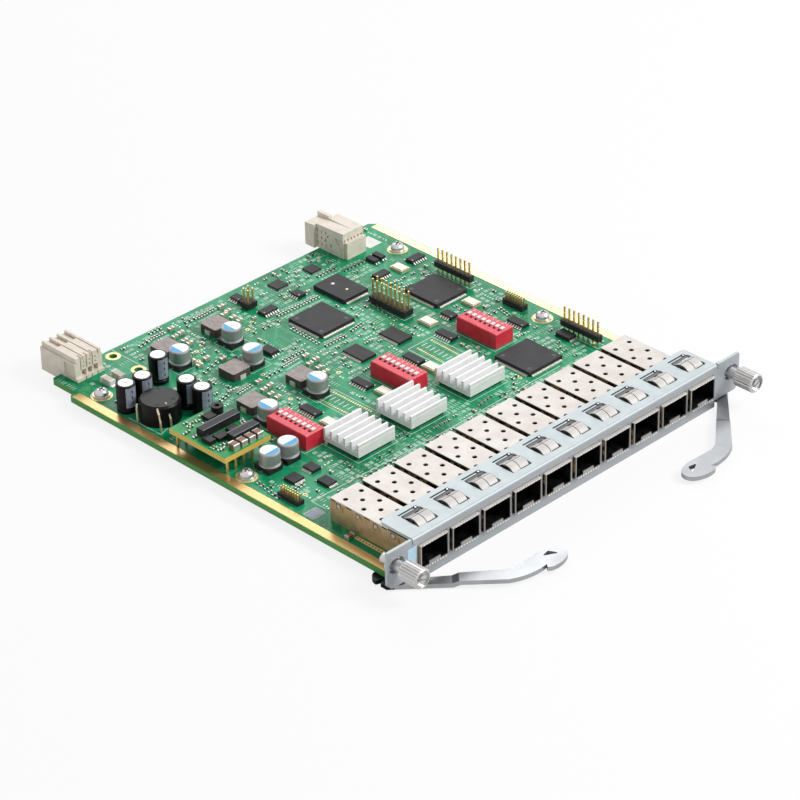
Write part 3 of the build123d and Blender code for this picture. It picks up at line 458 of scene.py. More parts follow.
# The lever pins take this black as painted shade, where they sit dark behind the faceplate.
dress(black_moulding_and_shade, "host_connectors", "header_bodies", "can_bases", "lever_pins")
switch_red = plain("red_switch_moulding", "#D8263E", "#E4354C", 3.0, depth=0.002, roughness=0.4)
dress(switch_red, "switch_housings")
slider_white = plain("white_slider_moulding", "#E4E1DE", "#F4F2F1", 0.8, depth=0.004, roughness=0.45)
dress(slider_white, *[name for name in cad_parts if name.startswith("slider_")])
connector_beige = plain("beige_connector_moulding", "#E3D8C8", "#EEE5D8", 3.0, depth=0.003, roughness=0.5)
dress(connector_beige, "power_connector", "data_connector")
print("mouldings", black_moulding_and_shade.name, switch_red.name, connector_beige.name)

# %% [markdown]
# Chips are moulded in black epoxy filled with silica, which looks dark grey from
# above under a broad lamp. The heatsinks are extruded aluminium, blasted to a matt
# white, with painted shade on the floor of their grooves. Crystals wear plated lids.

# %% Chip epoxy, aluminium and crystal lids
chip_epoxy = plain("moulded_chip_epoxy", "#242427", "#2E2E31", 5.0, roughness=0.55, Specular_IOR_Level=0.3)
dress(chip_epoxy, "large_chips", "small_chips")

heatsink_metal, tree, shader, place = finish(
    "extruded_aluminium", "#F4F3F4", "#FBFAFB", 5.0, metallic=0.1, roughness=0.45
)
# Painted shade: faces that look up, 7.6 to 9 mm high, the floors of the grooves, are laid greyer.
level = add(tree, "ShaderNodeMath", {"operation": "GREATER_THAN", 1: 0.5}, {0: facing(tree)["Z"]}).outputs[0]
lay(tree, shader, "#C2C9C7", both(tree, level, band(tree, place, 2, 7.6, 9.0)))
dress(heatsink_metal, "heatsinks")

crystal_metal = plain("crystal_lid_metal", "#D5CFBC", "#E3DFD0", 2.0, metallic=0.4, roughness=0.4)
dress(crystal_metal, "crystals")
print("chips", chip_epoxy.name, heatsink_metal.name, crystal_metal.name)

# %% [markdown]
# The tall capacitors and the choke wear shrunk black sleeves, glossy and slightly
# wavy. The low cans are drawn aluminium. Inductors are pressed from grey ferrite
# powder, with painted shade down their sides, and the converter's cores are black ferrite. The
# converter's own board is a brighter green, with a yellow cut edge.

# %% Sleeves, cans and ferrites
sleeve_black = plain(
    "shrunk_black_sleeve", "#0B0B0C", "#141416", 3.0, depth=0.01, roughness=0.36, Specular_IOR_Level=0.16
)
dress(sleeve_black, "tall_capacitors", "choke")
can_metal = plain("drawn_aluminium_can", "#A5A6A8", "#B3B3B5", 3.0, metallic=0.6, roughness=0.45)
dress(can_metal, "can_capacitors")

ferrite_grey, tree, shader, place = finish(
    "grey_ferrite", "#9A8F8C", "#AEA4A1", 1.6, depth=0.01, roughness=0.65
)
# Painted shade: upright sides are laid darker.
lay(tree, shader, "#4B4342", upright(tree))
dress(ferrite_grey, "inductors")
ferrite_black = plain(
    "black_ferrite", "#181718", "#242324", 2.0, depth=0.006, roughness=0.5, Specular_IOR_Level=0.3
)
dress(ferrite_black, "converter_cores", "converter_parts")

module_mask, tree, shader, place = finish(
    "module_board", "#0B8C42", "#1FA457", 4.0, roughness=0.4, Specular_IOR_Level=0.25
)
lay(tree, shader, "#E2C262", upright(tree))
dress(module_mask, "converter_board")

pin_gold = plain("gold_plated_pins", "#D0AC5E", "#E8CE90", 1.5, metallic=0.8, roughness=0.32)
dress(pin_gold, "header_pins", "converter_pins")
print("dressed", len(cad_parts), "nodes")

# %% [markdown]
# Everything below is added to the bare model. Nearly all of it is made of small
# profiles carried along short paths: a solder foot is a ribbon bent twice, a pad is
# a flat bar, a ring is a rectangle turned round an axis. So one function joins rows
# of profile points into closed skins, whole arrays at a time, and a second one makes
# the object, gives it its finish and lets it ride on the card.

# %% Skins from profile points
def skin(rings, closed=False):
    """Rings are points (piece, step, corner, xyz). Corner k of a step is joined to
    corner k + 1 of the same step and to corner k of the next step. An open row of
    steps gets a cap at both ends, a closed one joins its last step to its first."""
    count, steps, corners = rings.shape[:3]
    index = np.arange(count * steps * corners).reshape(count, steps, corners)
    now = index if closed else index[:, :-1]
    after = np.roll(index, -1, axis=1) if closed else index[:, 1:]
    sides = np.stack([now, after, np.roll(after, -1, axis=2), np.roll(now, -1, axis=2)], axis=-1)
    faces = sides.reshape(-1, 4).tolist()
    if not closed:
        faces += index[:, 0].tolist() + index[:, -1, ::-1].tolist()
    return rings.reshape(-1, 3), faces


def piece(name, material, slot, *skins, body="card"):
    """One object from several skins in card millimetres."""
    points, faces, start = [], [], 0
    for block_points, block_faces in skins:
        points.append(block_points)
        faces += [[corner + start for corner in face] for face in block_faces]
        start += len(block_points)
    mesh = bpy.data.meshes.new(name)
    mesh.from_pydata(to_model(np.concatenate(points)).tolist(), [], faces)
    mesh.materials.append(material)
    made = bpy.data.objects.new(name, mesh)
    bpy.context.scene.collection.objects.link(made)
    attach(made, body)
    print(name, len(faces), "faces")
    return made


def bars(starts, ends, width, low, high):
    """A bar from each start to each end, both (n, 2): a rectangle, width across and
    from low to high, carried from one point to the other."""
    starts, ends = np.atleast_2d(starts).astype(float), np.atleast_2d(ends).astype(float)
    along = ends - starts
    along /= np.linalg.norm(along, axis=1, keepdims=True)
    half = np.stack([-along[:, 1], along[:, 0]], axis=1) * np.reshape(width, (-1, 1)) / 2
    count = len(starts)
    rings = np.zeros((count, 2, 4, 3))
    for step, place in enumerate((starts, ends)):
        rings[:, step, :, :2] = place[:, None, :] + half[:, None, :] * np.array([-1, 1, 1, -1])[:, None]
    rings[..., 2] = np.stack(
        [np.broadcast_to(level, count) for level in (high, high, low, low)], axis=-1
    )[:, None, :]
    return skin(rings)


def blocks(rows):
    """Boxes from rows of x, y, width along X, length along Y, low and high."""
    x, y, width, length, low, high = np.atleast_2d(rows).astype(float).T
    return bars(
        np.stack([x - width / 2, y], 1), np.stack([x + width / 2, y], 1), length, low, high
    )


def turned(centres, profile, sides=20, closed=False):
    """A profile of (radius, height) rows turned round an upright axis at each centre."""
    angle = -2 * np.pi * np.arange(sides) / sides
    circle = np.stack([np.cos(angle), np.sin(angle)], axis=1)
    profile = np.asarray(profile, dtype=float)
    centres = np.atleast_2d(centres).astype(float)
    rings = np.zeros((len(centres), len(profile), sides, 3))
    rings[..., :2] = centres[:, None, None, :] + profile[None, :, None, :1] * circle[None, None]
    rings[..., 2] = profile[None, :, 1, None]
    return skin(rings, closed)


def ring_shapes(centres, inner, outer, low, high, sides=24):
    """Flat rings: a rectangle between two radii and two heights, turned."""
    return turned(centres, [(inner, low), (outer, low), (outer, high), (inner, high)], sides, True)


def discs(centres, radius, low, high, sides=16):
    return turned(centres, [(radius, low), (radius, high)], sides)


def row(start, end, count):
    """Count points evenly from start to end."""
    return np.linspace(np.array(start, dtype=float), np.array(end, dtype=float), count)


print("helpers ready")

# %% [markdown]
# Finishes of the added pieces: bright solder, gold pads, the white ink of the
# silkscreen, the black and tan bodies of the small parts, and a few more.

# %% Finishes of the small parts
# Tin and gold, bright and a little uneven where the solder set
solder = plain("bright_tin_solder", "#BFBDB6", "#DEDCD6", 0.8, metallic=0.6, roughness=0.35)
cream_lead = plain("tinned_chip_leads", "#E6E1D5", "#F5F2EA", 0.8, metallic=0.3, roughness=0.4)
pad_gold = plain("gold_pads", "#C9B578", "#E0D2A0", 1.2, metallic=0.5, roughness=0.4)
# Flat inks, and ceramics between matt and half gloss
white_ink = plain("white_silkscreen_ink", "#D6EADF", "#F2F8F4", 2.0, roughness=0.6)
part_black = plain("black_resistor_glaze", "#1B1B1E", "#303036", 1.0, roughness=0.45)
part_tan = plain("tan_ceramic", "#9F8F74", "#BCAD94", 1.0, roughness=0.5)
part_brown = plain("brown_ceramic", "#7A5744", "#96705A", 1.0, roughness=0.5)
corner_beige = plain("beige_ceramic_block", "#C4BEAE", "#D6D0C2", 2.0, roughness=0.5)
resin_green = plain("bright_green_resin", "#2E9450", "#43A862", 1.0, roughness=0.4)
# Gaps and wells, nearly black because little light gets in
gap_black = plain("shadowed_gap", "#0A0B0C", "#141618", 1.0, roughness=0.7)
hole_dark = plain("shadowed_hole", "#0B1F14", "#15301F", 1.0, roughness=0.7)
red_dark = plain("deep_red_well", "#5A0E1A", "#741525", 1.0, roughness=0.6)
# Prints, lids, wire, paper and spring strip; the grey print also makes painted highlights
segment_blue = plain("blue_can_ink", "#379FD6", "#4BB2E4", 1.0, roughness=0.45)
can_white = plain("bright_can_top", "#DEDEDF", "#E8E8E8", 1.5, metallic=0.2, roughness=0.4)
grey_print_and_highlight = plain("grey_print_and_painted_highlight", "#858EA0", "#9AA3B2", 1.5, roughness=0.45)
lid_cream = plain("gold_rimmed_lid", "#DDDAC8", "#E8E5D6", 1.5, metallic=0.2, roughness=0.4)
rim_gold = plain("gold_lid_rim", "#C8A35A", "#DDBD7C", 1.0, metallic=0.6, roughness=0.4)
copper_wire = plain("tinned_choke_wire", "#B9A88C", "#D6CBB4", 1.0, metallic=0.7, roughness=0.35)
label_blue = plain("pale_blue_label", "#B2D3E8", "#BFDCEE", 3.0, roughness=0.6)
label_white = plain("white_paper_label", "#E9EAE8", "#F3F3F1", 3.0, roughness=0.75)
spring_white = plain("bright_spring_fingers", "#E9E6E2", "#F8F7F5", 1.0, metallic=0.3, roughness=0.35)
print("finishes", len(bpy.data.materials))

# %% [markdown]
# Places of the larger parts, in x and y millimetres of the card. Their pads, marks
# and outlines are drawn from these, and the free ground between them is found.

# %% Places of the larger parts
SQUARE_CHIP_TOP = BOARD_TOP + 2.0
CAN_TOP, TALL_TOP = BOARD_TOP + 2.0 + 5.8, BOARD_TOP + 12.2
SWITCH_TOP, MODULE_TOP, FLANGE_TOP = BOARD_TOP + 6.5, 13.0, 18.6
MODULE = (20.2, 109.5)
square_chips = [(112.3, 150.5), (160.4, 133.8), (147.95, 70.5)]
flat_chips = [(138.95, 184.05, 5.6, 5.6), (120.2, 184.6, 6.0, 6.0)]
crystals = [(164.3, 158.2), (141.1, 119.0), (164.15, 117.3), (91.25, 93.6), (117.0, 93.4), (61.0, 92.6)]
cans = np.array(
    [(76.7, 164.6), (50.9, 166.8), (71.1, 146.6), (73.6, 112.4), (46.6, 111.3), (33.85, 86.8), (24.45, 86.8)]
)
talls = np.array([(37.2, 163.7), (22.9, 156.5), (14.6, 156.7), (32.8, 142.1), (33.2, 133.7)])
inductors_x = [(79.1, 176.5), (53.6, 177.9), (75.5, 123.4), (49.2, 123.0)]
inductor_y = (61.0, 146.2)
switches = [(46.4, 96.0), (101.9, 96.3), (149.75, 96.0)]
heatsinks = [(59.75, 75.2), (87.8, 75.2), (119.9, 75.2)]
corner_blocks = [(22.3, 176.8), (27.9, 177.2)]
screw_spots = [(14.6, 171.8), (14.2, 88.6), (175.7, 171.05), (175.5, 88.6)]
hole_spots = [(37.15, 191.1), (37.35, 176.1)]
print("parts placed", len(cans) + len(talls) + len(crystals) + len(switches))

# %% [markdown]
# Solder feet. A chip's foot leaves the body half-way up, bends down and stands flat
# on the board, a shape called gull wing. The small packages have theirs 1.27 mm
# apart, the large square ones 0.5 mm.

# %% Feet of the chips
def feet(rows, rise, reach, thick):
    """Rows are x, y, half the body across, axis (0 for feet along X, 1 along Y),
    count, pitch and foot width. The path, in distance d and height z, is
    (0, rise), (0.3 reach, rise), (0.55 reach, foot), (reach, foot), and a ribbon of
    the given thickness follows it on both sides of each body."""
    middles, outward, widths = [], [], []
    for x, y, half, axis, count, pitch, width in rows:
        step = (np.arange(count) - (count - 1) / 2) * pitch
        for side in (-1, 1):
            out = np.array([side, 0.0]) if axis == 0 else np.array([0.0, side])
            run = np.array([0.0, 1.0]) if axis == 0 else np.array([1.0, 0.0])
            middles.append(np.array([x, y]) + out * half + step[:, None] * run)
            outward.append(np.tile(out, (count, 1)))
            widths.append(np.full(count, width))
    middles, outward = np.concatenate(middles), np.concatenate(outward)
    widths = np.concatenate(widths)
    path = np.array([[-0.1, rise], [0.3 * reach, rise], [0.55 * reach, thick], [reach, thick]])
    run = np.gradient(path, axis=0)
    run /= np.linalg.norm(run, axis=1, keepdims=True)
    normal = np.stack([-run[:, 1], run[:, 0]], axis=1) * thick / 2
    across = np.stack([-outward[:, 1], outward[:, 0]], axis=1)
    rings = np.zeros((len(middles), 4, 4, 3))
    for corner, (face, side) in enumerate(((1, -1), (1, 1), (-1, 1), (-1, -1))):
        shaped = path + face * normal
        rings[:, :, corner, :2] = (
            middles[:, None] + outward[:, None] * shaped[None, :, :1]
            + across[:, None] * (side * widths / 2)[:, None, None]
        )
        rings[:, :, corner, 2] = BOARD_TOP + shaped[None, :, 1]
    return skin(rings)


small_outline = [
    (101.3, 188.3, 0, 4), (120.6, 173.0, 0, 4), (89.6, 104.1, 0, 7), (116.45, 102.7, 0, 7),
    (138.6, 106.2, 0, 7), (165.2, 92.4, 0, 7), (61.9, 104.1, 0, 7), (150.8, 116.7, 0, 4),
    (102.95, 172.0, 1, 6), (155.0, 159.8, 1, 5), (174.5, 159.2, 1, 6),
]
small_outline_feet = [(x, y, 1.95, axis, count, 1.27, 0.58) for x, y, axis, count in small_outline]
fine_feet = [
    (105.1, 121.55, 3.7, 0, 16, 0.65, 0.3), (124.55, 120.8, 3.7, 0, 16, 0.65, 0.3),
    (34.55, 74.8, 2.2, 0, 8, 0.6, 0.3), (24.8, 74.2, 2.7, 1, 8, 0.6, 0.3),
    (31.85, 63.9, 3.0, 1, 7, 0.6, 0.3), (171.0, 71.7, 3.6, 1, 7, 0.6, 0.3),
    (161.2, 171.2, 2.7, 1, 2, 1.3, 0.5), (165.4, 171.6, 2.7, 1, 2, 1.3, 0.5),
    (81.5, 148.15, 3.1, 1, 3, 1.3, 0.6),
]
fine_feet += [(x, y, 2.8, 1, 1, 1.0, 2.2) for x, y in corner_blocks]
sides = [(0, 9.3, 0, 34), (0, 9.5, 1, 34), (1, 8.7, 0, 32), (1, 9.4, 1, 30), (2, 9.3, 0, 34), (2, 9.5, 1, 34)]
square_feet = [(*square_chips[chip], half, axis, count, 0.5, 0.28) for chip, half, axis, count in sides]
square_feet += [(135.2, 163.1, 9.1, 1, 24, 0.5, 0.28)]
piece("small_outline_feet", cream_lead, "tinned_pins", feet(small_outline_feet, 0.7, 1.35, 0.22))
piece("fine_feet", cream_lead, "tinned_pins", feet(fine_feet, 0.5, 1.1, 0.16))
piece("square_chip_feet", cream_lead, "tinned_pins", feet(square_feet, 0.5, 1.15, 0.16))

# %% [markdown]
# Flat no-lead chips have only bright edges where their pads end under the body, and
# each moulded chip has small round marks that its mould's ejector pins left.

# %% Edges and mould marks of the chips
edge_rows = []
steps = (np.arange(9) - 4) * 0.55
for x, y, width, length in flat_chips:
    for side in (-1, 1):
        edge_rows += [(x + s, y + side * length / 2, 0.28, 0.3, *up(0.3)) for s in steps]
        edge_rows += [(x + side * width / 2, y + s, 0.3, 0.28, *up(0.3)) for s in steps]
piece("flat_chip_pads", cream_lead, "tinned_pins", blocks(edge_rows))

offsets = [
    (0, -7.0, 7.0), (0, 7.0, -7.0), (1, -6.6, 7.2), (1, 6.6, -7.2), (2, -7.0, 7.2), (2, 7.0, -7.2),
    (0, -7.3, -7.5), (1, -6.6, -7.2), (2, -7.0, -7.2),
]
dimples = [(square_chips[chip][0] + dx, square_chips[chip][1] + dy) for chip, dx, dy in offsets]
piece("mould_marks", part_black, "chip_epoxy", discs(dimples, 0.95, *up(0.03, SQUARE_CHIP_TOP), 20))
small_marks = [
    (100.2, 186.5), (119.5, 171.2), (88.4, 100.4), (115.2, 99.0), (137.4, 102.5), (164.0, 89.0),
    (60.7, 100.4), (149.6, 114.4), (100.0, 170.9), (152.2, 158.7), (171.6, 158.1),
]
piece(
    "first_foot_marks", grey_print_and_highlight, "chip_epoxy",
    discs(small_marks, 0.4, BOARD_TOP + 1.5, BOARD_TOP + 1.52, 12),
)
piece("flash_chip_gold_mark", pad_gold, "chip_epoxy", discs([(135.6, 159.9)], 0.55, *up(0.02, SQUARE_CHIP_TOP)))
piece("flash_chip_dots", label_white, "chip_epoxy", discs([(134.8, 167.3)], 0.8, *up(0.02, SQUARE_CHIP_TOP)))

# %% [markdown]
# Crystals sit in ceramic trays under a plated lid, so each shows a cream top with a
# golden edge round it.

# %% Crystals
piece(
    "crystal_rims", rim_gold, "crystal_can",
    blocks([(x, y, 4.9, 6.9, BOARD_TOP + 0.75, BOARD_TOP + 1.15) for x, y in crystals]),
)
piece(
    "crystal_lids", lid_cream, "crystal_can",
    blocks([(x, y, 3.9, 5.9, BOARD_TOP + 1.5, BOARD_TOP + 1.56) for x, y in crystals]),
)
# %% [markdown]
# Chip resistors and ceramic capacitors are the small change of any board. A
# resistor is a white ceramic chip with a black glaze between two tinned ends, 1.6 by
# 0.8 mm. A ceramic capacitor has a tan or brown body. Each is three blocks in a
# line: the two ends stand a little proud of the body. The rows beside the converters
# are placed one by one. The rest fills the free ground with a seeded choice of
# parts, empty pads and outlines, and keeps clear of every larger part.

# %% Two-ended parts
def two_ended(rows, size, height, proud=0.04):
    """Rows are x, y and axis (0 along X, 1 along Y). The body is size long and wide,
    each end takes a fifth of its length. Gives the bodies' and the ends' blocks."""
    rows = np.atleast_2d(rows).astype(float)
    length, width = size
    flat = rows[:, 2:3] > 0.5
    shape = np.where(flat, [[width, length]], [[length, width]])
    step = np.where(flat, [[0.0, 1.0]], [[1.0, 0.0]]) * length * 0.4
    end = np.where(flat, [[width + 2 * proud, length * 0.22]], [[length * 0.22, width + 2 * proud]])
    low = np.full((len(rows), 1), BOARD_TOP)
    body = np.hstack([rows[:, :2], shape * 0.98, low, low + height])
    ends = np.vstack([np.hstack([rows[:, :2] + s * step, end, low, low + height + proud]) for s in (-1, 1)])
    return body, ends


def row_of(start, end, count, axis):
    return np.hstack([row(start, end, count), np.full((count, 1), float(axis))])


resistors = np.vstack(
    [
        row_of((54.3, 190.1), (62.9, 190.1), 7, 1),
        row_of((49.2, 188.7), (53.9, 189.4), 3, 1),
        row_of((58.6, 193.5), (64.0, 193.6), 4, 1),
        row_of((80.4, 189.0), (89.4, 189.4), 7, 1),
        row_of((74.4, 189.6), (79.0, 189.3), 3, 1),
        row_of((52.3, 134.2), (59.3, 134.9), 6, 1),
        row_of((43.7, 135.2), (48.0, 136.1), 3, 1),
        row_of((77.7, 136.3), (85.7, 136.8), 7, 1),
        row_of((70.3, 135.3), (74.8, 135.0), 3, 1),
        row_of((53.5, 155.2), (67.7, 159.1), 6, 1),
        row_of((81.1, 139.4), (91.8, 139.3), 7, 1),
        row_of((147.9, 173.7), (158.0, 173.4), 6, 1),
        row_of((136.8, 178.1), (146.2, 177.9), 6, 1),
        row_of((103.6, 166.8), (125.0, 165.9), 14, 1),
        row_of((100.5, 135.7), (110.8, 135.6), 7, 1),
        row_of((115.8, 136.7), (122.4, 137.7), 5, 1),
        row_of((100.4, 155.0), (99.4, 139.2), 9, 0),
        row_of((137.0, 149.2), (133.2, 129.8), 8, 0),
        row_of((177.8, 151.8), (176.9, 146.0), 4, 0),
        row_of((169.0, 105.9), (167.7, 100.0), 4, 0),
        row_of((110.4, 60.8), (117.3, 62.0), 4, 0),
        row_of((86.6, 61.6), (93.6, 61.6), 4, 0),
        row_of((14.1, 82.0), (12.2, 69.5), 6, 0),
        row_of((21.2, 68.8), (24.6, 69.2), 3, 1),
    ]
)
body, ends = two_ended(resistors, (1.6, 0.85), 0.5)
piece("row_resistors", part_black, "chip_epoxy", blocks(body))
piece("row_resistor_ends", solder, "tinned_pins", blocks(ends))

converter_caps = np.array(
    [
        (92.1, 188.2), (91.6, 183.5), (88.6, 182.6), (89.5, 178.2), (89.7, 174.5),
        (66.5, 189.7), (67.1, 184.4), (63.4, 183.8), (63.9, 178.7), (64.0, 175.8),
        (65.0, 157.3), (60.8, 162.3), (55.3, 160.3), (55.4, 164.5),
        (62.8, 134.4), (64.1, 129.2), (60.2, 128.5), (59.8, 124.1), (60.1, 120.5),
        (89.0, 135.4), (90.0, 130.5), (86.0, 129.7), (86.3, 124.9), (86.1, 120.8),
    ]
)
body, ends = two_ended(np.hstack([converter_caps, np.zeros((24, 1))]), (2.5, 1.7), 1.3)
piece("converter_capacitors", part_tan, "chip_epoxy", blocks(body))
piece("converter_capacitor_ends", solder, "tinned_pins", blocks(ends))

# %% [markdown]
# A board has little free ground: each large part keeps its own rectangle clear. The
# rectangles are x, y, width and length in mm. Spots on a loose grid that miss all of
# them are free, and a seeded draw decides what stands there.

# %% The taken ground
taken_rows = [
    (135.2, 163.1, 14, 22), (160.4, 133.8, 21, 22), (147.95, 70.5, 22, 22), (112.3, 150.5, 23, 23),
    (124.55, 120.8, 10, 12.5), (105.1, 121.55, 10, 12.5), (138.95, 184.05, 7.5, 7.5),
    (120.2, 184.6, 8, 8), (120.6, 173.0, 7.4, 6.4), (102.95, 172.0, 9, 7.4), (89.6, 104.1, 7.4, 10.5),
    (116.45, 102.7, 7.4, 10.5), (155.0, 159.8, 8.5, 7.4), (150.8, 116.7, 7.4, 7.4),
    (138.6, 106.2, 7.4, 10.5), (165.2, 92.4, 7.4, 10), (61.9, 104.1, 7.4, 10.5), (34.55, 74.8, 7.5, 7),
    (24.8, 74.2, 7, 8.5), (31.85, 63.9, 6.5, 9), (101.3, 188.3, 7.4, 6.4), (81.5, 148.15, 6, 9),
    (174.5, 159.2, 9, 7.4), (171.0, 71.7, 6.5, 10), (161.2, 171.2, 4, 8), (165.4, 171.6, 4, 8),
    (20.0, 143.3, 20, 20), (15.0, 143.0, 12, 20), (*MODULE, 25, 33), (174.3, 136.9, 4.5, 23),
    (174.8, 67.0, 4.5, 23), (139.1, 138.05, 7, 23), (100.25, 180.6, 7, 7), (174.9, 103.1, 5, 13),
    (14.75, 65.3, 5, 13), (21.1, 190.5, 16, 12), (159.25, 187.5, 15, 18), (7.8, 90.0, 5, 180),
    (183.7, 125.0, 5, 150), (95.75, 22.0, 165, 50), (8.6, 7.0, 30, 60), (182.9, 7.0, 30, 70),
    (127.4, 97.5, 16, 26), (74.4, 98.0, 13, 23), (171.9, 184.0, 9, 10), (92.5, 155.6, 9, 11),
    (14.5, 52.5, 8, 7), (13.5, 31.5, 6, 9), (13.7, 180.1, 5, 5), (40.0, 184.0, 1.5, 26),
]
sized = [
    (crystals, 7, 9), (cans, 11, 11), (talls, 10, 10), (inductors_x + [inductor_y], 12, 12),
    (switches, 12, 24), (heatsinks, 22, 21), (corner_blocks, 4.5, 8), (screw_spots, 10, 10),
    (hole_spots, 9, 9), (resistors[:, :2], 2.6, 3.0), (converter_caps, 4.2, 3.4),
]
taken_rows += [(x, y, width, length) for spots, width, length in sized for x, y in spots]
taken = np.array(taken_rows)


def free(spots, reach, others=taken):
    """Which spots (x, y) lie at least reach outside every taken rectangle."""
    gap = np.abs(spots[:, None, :] - others[None, :, :2]) - others[None, :, 2:4] / 2
    return (gap > np.reshape(reach, (1, 1, -1))).any(axis=2).all(axis=1)


draw = np.random.default_rng(7)
grid_x, grid_y = np.meshgrid(np.arange(10.5, 181.0, 2.5), np.arange(47.5, 194.0, 2.9))
spots = np.stack([grid_x.ravel(), grid_y.ravel()], axis=1)
spots += draw.uniform(-0.25, 0.25, spots.shape)
spots = spots[free(spots, (1.0, 1.3))]
patch = np.sin(spots[:, 0] / 9.0) + np.sin(spots[:, 1] / 8.0 + 1.0) + np.sin((spots[:, 0] + spots[:, 1]) / 13.0)
luck = draw.random(len(spots))
kind = np.digitize(luck, [0.15, 0.2, 0.52, 0.62, 0.84])
axis = (patch > 0).astype(float)
print("free spots", len(spots), "kinds", np.bincount(kind))

# %% [markdown]
# Each free spot now gets its part: a resistor, a small tan capacitor, a comb of
# white ink strokes round an empty footprint, or a pair of bright pads. Some stay
# bare board.

# %% The filled ground
def at(number):
    chosen = kind == number
    return np.hstack([spots[chosen], axis[chosen, None]])


body, ends = two_ended(at(0), (1.6, 0.85), 0.5)
piece("scattered_resistors", part_black, "chip_epoxy", blocks(body))
piece("scattered_resistor_ends", solder, "tinned_pins", blocks(ends))
body, ends = two_ended(at(1), (1.7, 0.95), 0.8)
piece("scattered_capacitors", part_tan, "chip_epoxy", blocks(body))
piece("scattered_capacitor_ends", solder, "tinned_pins", blocks(ends))

empty = at(3)
_, ends = two_ended(empty, (1.8, 0.9), 0.03, 0.0)
piece("empty_pads", solder, "tinned_pins", blocks(ends))


def strokes(rows, count, pitch, length):
    """A comb: count short strokes side by side, pitch apart, across each row's axis."""
    rows = np.atleast_2d(rows)
    flat = rows[:, 2:3] > 0.5
    run = np.where(flat, [[0.0, 1.0]], [[1.0, 0.0]])
    across = run[:, ::-1]
    places = rows[:, None, :2] + (np.arange(count) - (count - 1) / 2)[None, :, None] * pitch * run[:, None]
    starts = (places - across[:, None] * length / 2).reshape(-1, 2)
    return starts, starts + np.repeat(across * length, count, axis=0)


beside = np.vstack([resistors + [0.0, shift, 0.0] for shift in (2.5, -2.5)])
beside = beside[resistors[np.arange(len(beside)) % len(resistors), 2] > 0.5]
beside = beside[free(beside[:, :2], (-0.2, 0.7))]
side_starts, side_ends = strokes(beside, 2, 0.6, 1.3)
comb_starts, comb_ends = strokes(at(2), 4, 0.5, 1.6)
long_starts, long_ends = strokes(at(4), 2, 1.3, 2.0)
INK = up(0.03)
piece(
    "ink_combs", white_ink, "solder_mask",
    bars(comb_starts, comb_ends, 0.22, *INK),
    bars(long_starts, long_ends, 0.18, *INK),
    bars(side_starts, side_ends, 0.2, *INK),
)

# %% [markdown]
# White ink also frames the larger parts and joins footprints with long lines. It is
# screen printed, so each line has one width and square ends. The frames are drawn
# from the same places as the parts. Two empty footprints get their gold pads here.

# %% Ink frames and lines
def frame_bars(rows, width=0.2):
    """Four strokes round each rectangle of x, y, width and length."""
    x, y, w, l = np.atleast_2d(rows).astype(float).T
    corners = [np.stack([x + i * w / 2, y + j * l / 2], 1) for i, j in ((-1, -1), (1, -1), (1, 1), (-1, 1))]
    starts, ends = np.concatenate(corners), np.concatenate(corners[1:] + corners[:1])
    return bars(starts, ends, width, *INK)


framed = [
    (46.4, 96.0, 12.6, 23.4), (101.9, 96.3, 12.6, 23.4), (149.75, 96.0, 12.6, 23.4),
    (76.7, 164.6, 10.4, 10.4), (50.9, 166.8, 10.4, 10.4), (71.1, 146.6, 10.4, 10.4),
    (73.6, 112.4, 10.4, 10.4), (46.6, 111.3, 10.4, 10.4), (174.3, 136.9, 3.6, 21.6),
    (174.8, 67.0, 3.6, 21.6), (139.1, 138.05, 6.2, 21.6), (120.2, 184.6, 7.6, 7.6),
    (138.95, 184.05, 7.2, 7.2), (81.5, 148.15, 7.4, 8.4), (59.75, 75.2, 21.0, 20.4),
    (87.8, 75.2, 21.0, 20.4), (119.9, 75.2, 21.0, 20.4), (14.5, 52.5, 6.2, 5.2),
]
line_starts = [
    (11.0, 151.8), (11.7, 133.8), (19.2, 59.0), (84.9, 57.3), (127.5, 57.9), (19.2, 59.0), (40.0, 195.0),
    (31.7, 192.7), (69.4, 86.4), (80.0, 86.4), (121.0, 84.6), (134.6, 84.6), (69.4, 109.6), (121.0, 110.4),
]
line_ends = [
    (11.7, 133.8), (16.6, 135.4), (84.9, 57.3), (127.5, 57.9), (152.9, 58.3), (19.4, 51.5), (40.0, 171.5),
    (30.4, 186.3), (69.4, 109.6), (80.0, 109.6), (121.0, 110.4), (134.6, 110.4), (80.0, 109.6), (134.6, 110.4),
]
piece("ink_frames", white_ink, "solder_mask", frame_bars(framed), bars(line_starts, line_ends, 0.25, *INK))

footprint_rows = [
    row_of((124.2, 108.0), (123.2, 86.6), 20, 0),
    row_of((132.6, 108.6), (131.6, 87.2), 20, 0),
    row_of((71.0, 108.0), (71.0, 88.0), 18, 0),
    row_of((78.2, 108.2), (78.4, 87.9), 18, 0),
]
pads = np.vstack(footprint_rows)
piece(
    "empty_footprint_pads", pad_gold, "gold_plating",
    blocks([(x, y, 1.1, 0.55, *up(0.04)) for x, y, _ in pads]),
)
middle = np.vstack([row_of((128.2, 108.3), (127.5, 87.0), 10, 0), row_of((74.6, 107.6), (74.7, 88.2), 9, 0)])
piece(
    "empty_footprint_ink", white_ink, "solder_mask",
    bars(middle[:, :2] - [1.6, 0.0], middle[:, :2] + [1.6, 0.0], 0.35, *INK),
)

# %% [markdown]
# Bare pads: wide tinned rings where the board screws and plated holes are, gold
# test pads with a dark middle, and the small dots by which the machine that places
# the parts finds the board.

